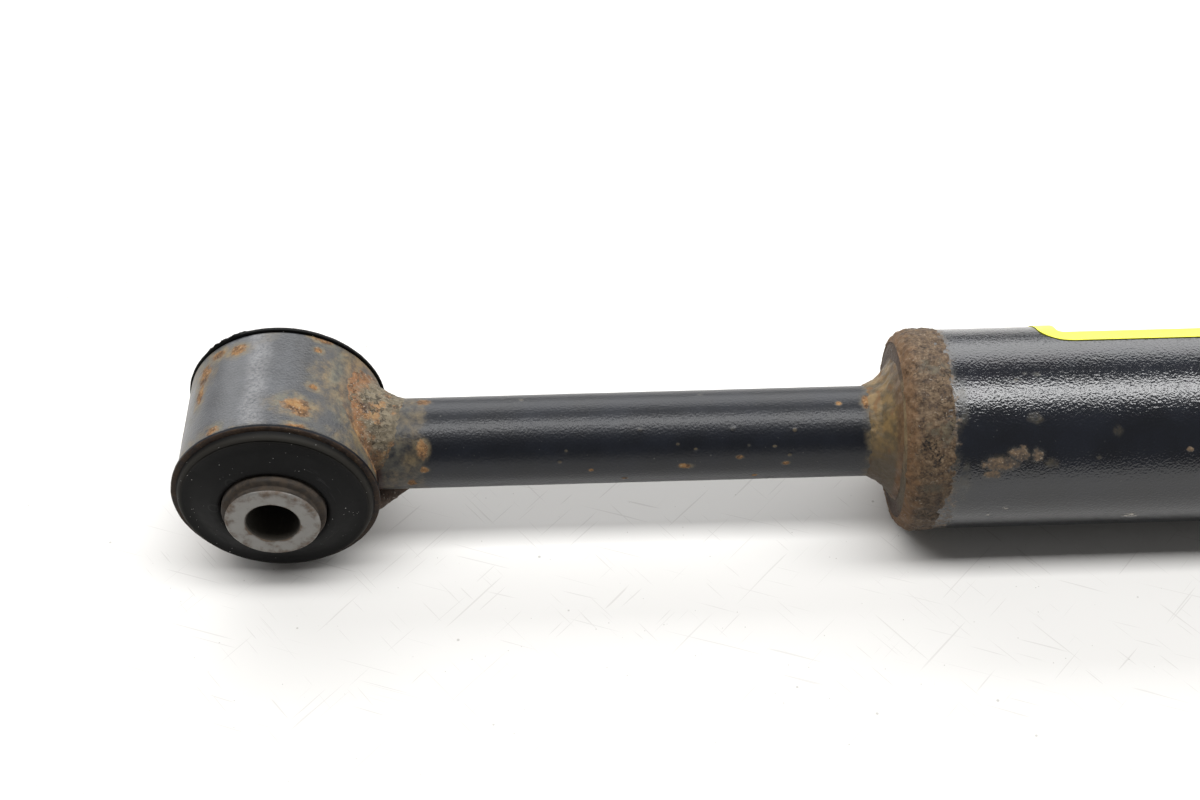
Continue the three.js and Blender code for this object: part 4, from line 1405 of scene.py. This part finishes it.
def grommet(name, seat, way, spigot):
    height, inner = 14.8, 7.6
    ends = [(height, 10.4, 0.4), (height + 3, 10, 0.5), (height + 3, inner, 0.3)]
    if not spigot:
        ends = [(height, 10.9, 0.4), (height - 3.3, 10.5, 0.4), (height - 3.3, inner, 0.3)]
    corners = [
        (0, inner, 0.3),
        (0, 15.6, 0.5),
        (3, 18.8, 1.0),
        (5.2, 20.4, 1.0),
        (height - 2, 20.6, 1.2),
        (height, 18.4, 0.8),
        *ends,
    ]
    corners = [(seat + way * c[0], *c[1:]) for c in corners]
    mould = rough_skin("X", 0.05, 3.0, 85.0)
    return turn(name, spaced(rounded(corners), 0.7), "X", 180, mould, 45)


def crush_tube():
    inner, outer = STUD_RADIUS + 0.2, SPACER.radius
    corners = [
        (SPACER.start, inner),
        (SPACER.start, outer, 0.3),
        (SPACER.end, outer, 0.3),
        (SPACER.end, inner),
    ]
    return turn("crush_tube", spaced(rounded(corners), 1.0), "X", 96)


def flange_nut():
    """A hexagon with chamfered corners between a flange and a locking collar."""
    start, hole, flats = NUT.start, STUD_RADIUS + 0.15, 8.0
    corners = [
        (start, hole, 0.3),
        (start, 10.6, 0.3),
        (start + 1.0, 10.6, 0.3),
        (start + 2.1, 9.3, 0.4),
        (start + 2.4, 9.3),
        (start + 7.2, 9.3, 0.2),
        (start + 8.2, 7.7, 0.2),
        (start + 8.2, 7.2, 0.1),
        (start + 9.8, 6.7, 0.4),
        (start + 9.8, hole, 0.3),
    ]

    def mould(along, radius, angle, normal):
        if not start + 2.2 < along < start + 8.3:
            return along, radius
        from_corner = (angle + math.pi / 6) % (math.pi / 3) - math.pi / 6
        return along, min(radius, flats / math.cos(from_corner))

    return turn("flange_nut", spaced(rounded(corners), 0.35), "X", 192, mould, 28)


# ---- settings ----


def colour_setting(name, description, default):
    return bpy.props.FloatVectorProperty(
        name=name, description=description, default=default, subtype="COLOR", size=3, min=0, max=1
    )


def length_setting(name, description, default):
    return bpy.props.FloatProperty(
        name=name, description=description, default=default * MM, subtype="DISTANCE", unit="LENGTH", min=0
    )


def angle_setting(name, description, degrees):
    default = math.radians(degrees)
    return bpy.props.FloatProperty(name=name, description=description, default=default, subtype="ANGLE")


def power_setting(name, description, watts):
    return bpy.props.FloatProperty(
        name=name, description=description, default=watts, subtype="POWER", unit="POWER"
    )


class ShockFinishSettings(bpy.types.PropertyGroup):
    """Colours of the finishes."""

    paint: colour_setting("Paint", "Colour of the paint on the eye, tube and body", (0.003, 0.004, 0.0068))
    ring_paint: colour_setting("Ring paint", "Colour of the eye ring's faded paint", (0.042, 0.044, 0.048))
    rubber: colour_setting("Rubber", "Colour of the moulded rubber", (0.007, 0.007, 0.007))
    steel: colour_setting("Steel", "Colour of the turned steel", (0.25, 0.243, 0.228))
    chrome: colour_setting("Chrome", "Colour of the rod's plating", (0.72, 0.73, 0.75))
    zinc: colour_setting("Zinc", "Colour of the yellow passivated zinc", (0.62, 0.52, 0.3))
    foam: colour_setting("Foam", "Colour of the bump stop's foam", (0.6, 0.44, 0.13))
    label_border: colour_setting("Label border", "Colour of the label's border", (0.93, 0.9, 0.06))
    label_field: colour_setting("Label field", "Colour inside the label's border", (0.86, 0.87, 0.84))


class ShockSizeSettings(bpy.types.PropertyGroup):
    """Sizes that can change without changing the frame."""

    thread_pitch: length_setting("Thread pitch", "Pitch of the stud's thread", 1.25)
    label_corner: length_setting("Label corner", "Radius of the label's corners", LABEL_CORNER)


class ShockStageSettings(bpy.types.PropertyGroup):
    """Camera, lights and floor."""

    azimuth: angle_setting("Azimuth", "Where the camera stands about Z", -0.470)
    elevation: angle_setting("Elevation", "How far the camera looks down", 46.275)
    roll: angle_setting("Roll", "The camera's turn about its line of sight", -1.251)
    camera_from_eye: bpy.props.FloatVectorProperty(
        name="Camera place",
        description="The camera's place from the middle of the lower eye",
        default=(0.085308, -0.346529, 0.377547),
        subtype="TRANSLATION",
        unit="LENGTH",
        size=3,
    )
    lens: bpy.props.FloatProperty(
        name="Lens",
        description="Focal length on a 36 mm wide sensor, in millimetres",
        default=55.5,
        subtype="DISTANCE_CAMERA",
    )
    floor: colour_setting("Floor", "Colour of the floor", (0.72, 0.71, 0.69))
    overhead: power_setting("Overhead light", "Power of the softbox above", 16.0)
    back: power_setting("Back light", "Power of the panel behind", 35.0)


def settings():
    scene = bpy.context.scene
    return scene.shock_finishes, scene.shock_sizes, scene.shock_stage


# ---- valve springs ----


def star_spring(name, node, hole, hub, bend, width):
    """A washer of spring steel whose three arms dip from the hub to the valve's plate."""
    box = Extent(node)
    tip, thick = (AXIS_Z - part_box(node)[0][2]) / MM, 0.4
    dip = box.end - box.start - thick
    arms = [math.radians(degrees) for degrees in (30, 150, 270)]
    section = [(box.end - thick, hole), (box.end - thick, tip), (box.end, tip), (box.end, hole)]

    def mould(along, radius, angle, normal):
        off = min(abs((angle - arm + math.pi) % TAU - math.pi) for arm in arms)
        edge = width / 2 / max(math.sin(off), width / 2 / tip)
        reach = max(hub, min(tip, edge))
        radius = hole + (radius - hole) * (reach - hole) / (tip - hole)
        return along - dip * smooth(bend, tip, radius), radius

    return turn(name, spaced(section, 0.6), "X", 540, mould)


# ---- operators ----

ZINC_STAIN = (0.2, 0.12, 0.05)
CUP_FLOOR = 2.5  # from a cup's outer face to the rubber in it

# share of its length that each soft or sprung piece keeps at the joint's limit
INTAKE_KEPT = 0.45
CHECK_KEPT = 0.65

# the stage, in metres from the frame's origin
FLOOR_HALF = 4.0
OVERHEAD_AT = (-0.05, -0.06, 0.95)
OVERHEAD_SIZE = (1.9, 0.26)
BACK_AT = (-0.05, 1.09, 0.74)
BACK_SIZE = (3.8, 0.85)
BACK_TILT = math.radians(-57)
ROOM_COLOUR = (0.175, 0.172, 0.17, 1)
SENSOR_WIDTH = 36.0  # millimetres

# material slot to the CAD pieces that are kept and get its finish
INNER_WORKS = {
    "machined_steel": (
        "inner_cylinder",
        "base_valve_shims",
        "intake_plate",
        "rebound_shims",
        "check_plate",
    ),
    "dark_steel": ("garter_spring", "base_valve_bolt", "base_valve_nut", "piston_nut", "rebound_stop_ring"),
    "sintered_iron": ("rod_guide", "base_valve_body", "piston"),
    "bronze": ("guide_bush",),
    "ptfe_band": ("piston_ring",),
    "rubber": ("rod_seal", "rebound_bumper"),
}


class ShockPiece:
    """What the piece operators share."""

    bl_options = {"REGISTER", "UNDO"}

    def execute(self, context):
        self.build(*settings())
        return {"FINISHED"}


class SHOCK_OT_eye_ring(ShockPiece, bpy.types.Operator):
    """Adds the pressed ring of the lower eye"""

    bl_idname = "shock.eye_ring"
    bl_label = "Eye Ring"

    def build(self, finishes, sizes, stage):
        dress(pressed_ring(), ring_finish(finishes.ring_paint), BODY, ["eye_ring"])


class SHOCK_OT_bush(ShockPiece, bpy.types.Operator):
    """Adds the rubber bush: its flanged sleeve, its rubber and the sleeve for the bolt"""

    bl_idname = "shock.bush"
    bl_label = "Rubber Bush"

    def build(self, finishes, sizes, stage):
        dress(flanged_sleeve(), flange_finish(finishes.paint), BODY, ["bush_outer_sleeve"])
        dress(moulded_rubber(), bush_rubber_finish(finishes.rubber), BODY, ["bush_rubber"])
        dress(bolt_sleeve(), sleeve_finish(finishes.steel), SLEEVE, ["bush_inner_sleeve"])


class SHOCK_OT_neck(ShockPiece, bpy.types.Operator):
    """Adds the tube between the eye and the body"""

    bl_idname = "shock.neck"
    bl_label = "Neck Tube"

    def build(self, finishes, sizes, stage):
        dress(neck_tube(), tube_finish(finishes.paint), BODY, ["extension_tube"])


class SHOCK_OT_welds(ShockPiece, bpy.types.Operator):
    """Adds the two welds at the eye, the weld at the cap and the seam weld"""

    bl_idname = "shock.welds"
    bl_label = "Welds"

    def build(self, finishes, sizes, stage):
        crust = eye_weld_finish()
        upper = eye_bead("upper_eye_bead", 8, 206, UPPER_RING_EDGE, UPPER_TUBE_EDGE, 0.42, 91.0)
        lower = eye_bead("lower_eye_bead", -38, -146, LOWER_RING_EDGE, LOWER_TUBE_EDGE, 0.85, 95.0)
        dress(upper, crust, BODY, ["eye_weld_upper"])
        dress(lower, crust, BODY, ["eye_weld_lower"])
        dress(cap_bead(), fillet_finish(), BODY, ["cap_fillet_weld"])
        dress(cap_seam(), seam_finish(), BODY, ["base_weld"])


class SHOCK_OT_body(ShockPiece, bpy.types.Operator):
    """Adds the body: its pressed cap, its tube and the plate over its end"""

    bl_idname = "shock.body"
    bl_label = "Body"

    def build(self, finishes, sizes, stage):
        zinc = metal_finish("zinc_plating", finishes.zinc, 0.34, ZINC_STAIN, 0.12)
        dress(pressed_cap(), cap_finish(finishes.paint), BODY, ["base_cap"])
        dress(damper_tube(), body_finish(finishes.paint), BODY, ["body_tube"])
        dress(bump_plate(), zinc, BODY, ["bump_cap"])


class SHOCK_OT_label(ShockPiece, bpy.types.Operator):
    """Adds the blank label on the body"""

    bl_idname = "shock.label"
    bl_label = "Label"

    def build(self, finishes, sizes, stage):
        film = label_finish(finishes.label_border, finishes.label_field)
        dress(stuck_label(sizes.label_corner / MM), film, BODY, ["label"])


class SHOCK_OT_rod(ShockPiece, bpy.types.Operator):
    """Adds the rod with its threaded stud"""

    bl_idname = "shock.rod"
    bl_label = "Rod"

    def build(self, finishes, sizes, stage):
        rod = plated_rod(sizes.thread_pitch / MM)
        dress(rod, rod_finish(finishes.chrome), ROD, ["piston_rod"])


class SHOCK_OT_upper_mounting(ShockPiece, bpy.types.Operator):
    """Adds the bump stop, cups, grommets, spacer and nut at the rod's end"""

    bl_idname = "shock.upper_mounting"
    bl_label = "Upper Mounting"

    def build(self, finishes, sizes, stage):
        stop = dress(foam_stop(), foam_finish(finishes.foam), ROD, ["bump_stop"])
        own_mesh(stop)
        zinc = metal_finish("zinc_cup", finishes.zinc, 0.32, ZINC_STAIN, 0.12)
        rubber = rubber_finish("grommet_rubber", finishes.rubber)
        seat = LOW_CUP.start
        dress(cup("lower_cup", seat, 1), zinc, ROD, ["lower_cup_washer"])
        dress(cup("upper_cup", HIGH_CUP.end, -1), zinc, ROD, ["upper_cup_washer"])
        lower_rubber = grommet("lower_mount_rubber", seat + CUP_FLOOR, 1, True)
        upper_rubber = grommet("upper_mount_rubber", HIGH_CUP.end - CUP_FLOOR, -1, False)
        dress(lower_rubber, rubber, ROD, ["lower_grommet"])
        dress(upper_rubber, rubber, ROD, ["upper_grommet"])
        dress(crush_tube(), zinc, ROD, ["grommet_spacer"])
        dress(flange_nut(), zinc, ROD, ["top_nut"])


class SHOCK_OT_works(ShockPiece, bpy.types.Operator):
    """Gives the valves, piston, guide and seal inside the body their finishes"""

    bl_idname = "shock.works"
    bl_label = "Inner Works"

    def build(self, finishes, sizes, stage):
        rust = (0.12, 0.07, 0.035)
        made = {
            "machined_steel": metal_finish("ground_steel", finishes.steel, 0.25, rust, 0.0),
            "dark_steel": metal_finish("blackened_steel", (0.08, 0.08, 0.085), 0.45, rust, 0.05),
            "sintered_iron": metal_finish(
                "sintered_iron", (0.24, 0.22, 0.2), 0.6, (0.1, 0.09, 0.08), 0.1, size=0.8
            ),
            "bronze": metal_finish("bronze_bush", (0.6, 0.36, 0.15), 0.35, (0.2, 0.1, 0.04), 0.05),
            "ptfe_band": rubber_finish("piston_band", (0.07, 0.1, 0.045), 0.5),
            "rubber": rubber_finish("seal_rubber", finishes.rubber),
        }
        for slot, names in INNER_WORKS.items():
            for name in names:
                dress(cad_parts[name], made[slot])
        sprung = made["machined_steel"]
        intake = star_spring("intake_star", "intake_spring", 3.2, 4.8, 7.0, 2.6)
        dress(intake, sprung, BODY, ["intake_spring"])
        check = star_spring("check_star", "check_spring", 5.2, 6.9, 8.0, 2.4)
        dress(check, sprung, ROD, ["check_spring"])
        for star, node, joint, keep in (
            (intake, "intake_spring", "intake_lift", INTAKE_KEPT),
            (check, "check_spring", "check_lift", CHECK_KEPT),
        ):
            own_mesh(star)


class SHOCK_OT_stage(ShockPiece, bpy.types.Operator):
    """Adds the floor, the lights and the camera"""

    bl_idname = "shock.stage"
    bl_label = "Stage"

    def build(self, finishes, sizes, stage):
        scene = bpy.context.scene
        scene.view_settings.view_transform = "Standard"
        mesh = bmesh.new()
        bmesh.ops.create_grid(mesh, x_segments=8, y_segments=8, size=FLOOR_HALF)
        floor = finished("floor", mesh)
        dress(floor, floor_finish(stage.floor))
        softbox("overhead", stage.overhead, OVERHEAD_AT, OVERHEAD_SIZE, (0, 0, 0))
        softbox("back_panel", stage.back, BACK_AT, BACK_SIZE, (BACK_TILT, 0, 0))
        world = bpy.data.worlds.new("studio_room")
        world.use_nodes = True
        world.node_tree.nodes["Background"].inputs["Color"].default_value = ROOM_COLOUR
        scene.world = world
        scene.camera = studio_camera(stage)


def softbox(name, power, at, size, turned):
    data = bpy.data.lights.new(name, "AREA")
    data.shape = "RECTANGLE"
    data.size, data.size_y = size
    data.energy = power
    light = bpy.data.objects.new(name, data)
    light.location = at
    light.rotation_euler = turned
    bpy.context.scene.collection.objects.link(light)


def studio_camera(stage):
    a, e, r = stage.azimuth, stage.elevation, stage.roll
    back = Vector((math.sin(a) * math.cos(e), -math.cos(a) * math.cos(e), math.sin(e)))
    right = Vector((math.cos(a), math.sin(a), 0))
    up = back.cross(right)
    across = right * math.cos(r) + up * math.sin(r)
    over = up * math.cos(r) - right * math.sin(r)
    data = bpy.data.cameras.new("camera")
    data.lens = stage.lens
    data.sensor_width = SENSOR_WIDTH
    camera = bpy.data.objects.new("camera", data)
    turned = Matrix((across, over, back)).transposed().to_4x4()
    eye = Vector((EYE_X, 0, AXIS_Z))
    camera.matrix_world = Matrix.Translation(eye + Vector(stage.camera_from_eye)) @ turned
    bpy.context.scene.collection.objects.link(camera)
    return camera


PIECES = (
    SHOCK_OT_eye_ring,
    SHOCK_OT_bush,
    SHOCK_OT_neck,
    SHOCK_OT_welds,
    SHOCK_OT_body,
    SHOCK_OT_label,
    SHOCK_OT_rod,
    SHOCK_OT_upper_mounting,
    SHOCK_OT_works,
    SHOCK_OT_stage,
)


class SHOCK_PT_panel(bpy.types.Panel):
    """Lists the pieces and their settings in the 3D view's sidebar"""

    bl_idname = "SHOCK_PT_panel"
    bl_label = "Rear Shock Absorber"
    bl_space_type = "VIEW_3D"
    bl_region_type = "UI"
    bl_category = "Shock Absorber"

    def draw(self, context):
        for group in settings():
            box = self.layout.box()
            for name in group.bl_rna.properties.keys():
                if name not in ("rna_type", "name"):
                    box.prop(group, name)
        for operator in PIECES:
            self.layout.operator(operator.bl_idname)


SETTINGS = {
    "shock_finishes": ShockFinishSettings,
    "shock_sizes": ShockSizeSettings,
    "shock_stage": ShockStageSettings,
}


def register():
    for made in (*SETTINGS.values(), *PIECES, SHOCK_PT_panel):
        bpy.utils.register_class(made)
    for name, group in SETTINGS.items():
        setattr(bpy.types.Scene, name, bpy.props.PointerProperty(type=group))


def unregister():
    for name in SETTINGS:
        delattr(bpy.types.Scene, name)
    for made in reversed((*SETTINGS.values(), *PIECES, SHOCK_PT_panel)):
        bpy.utils.unregister_class(made)


def main():
    register()
    for operator in PIECES:
        group, name = operator.bl_idname.split(".")
        getattr(getattr(bpy.ops, group), name)()


if __name__ == "__main__":
    main()
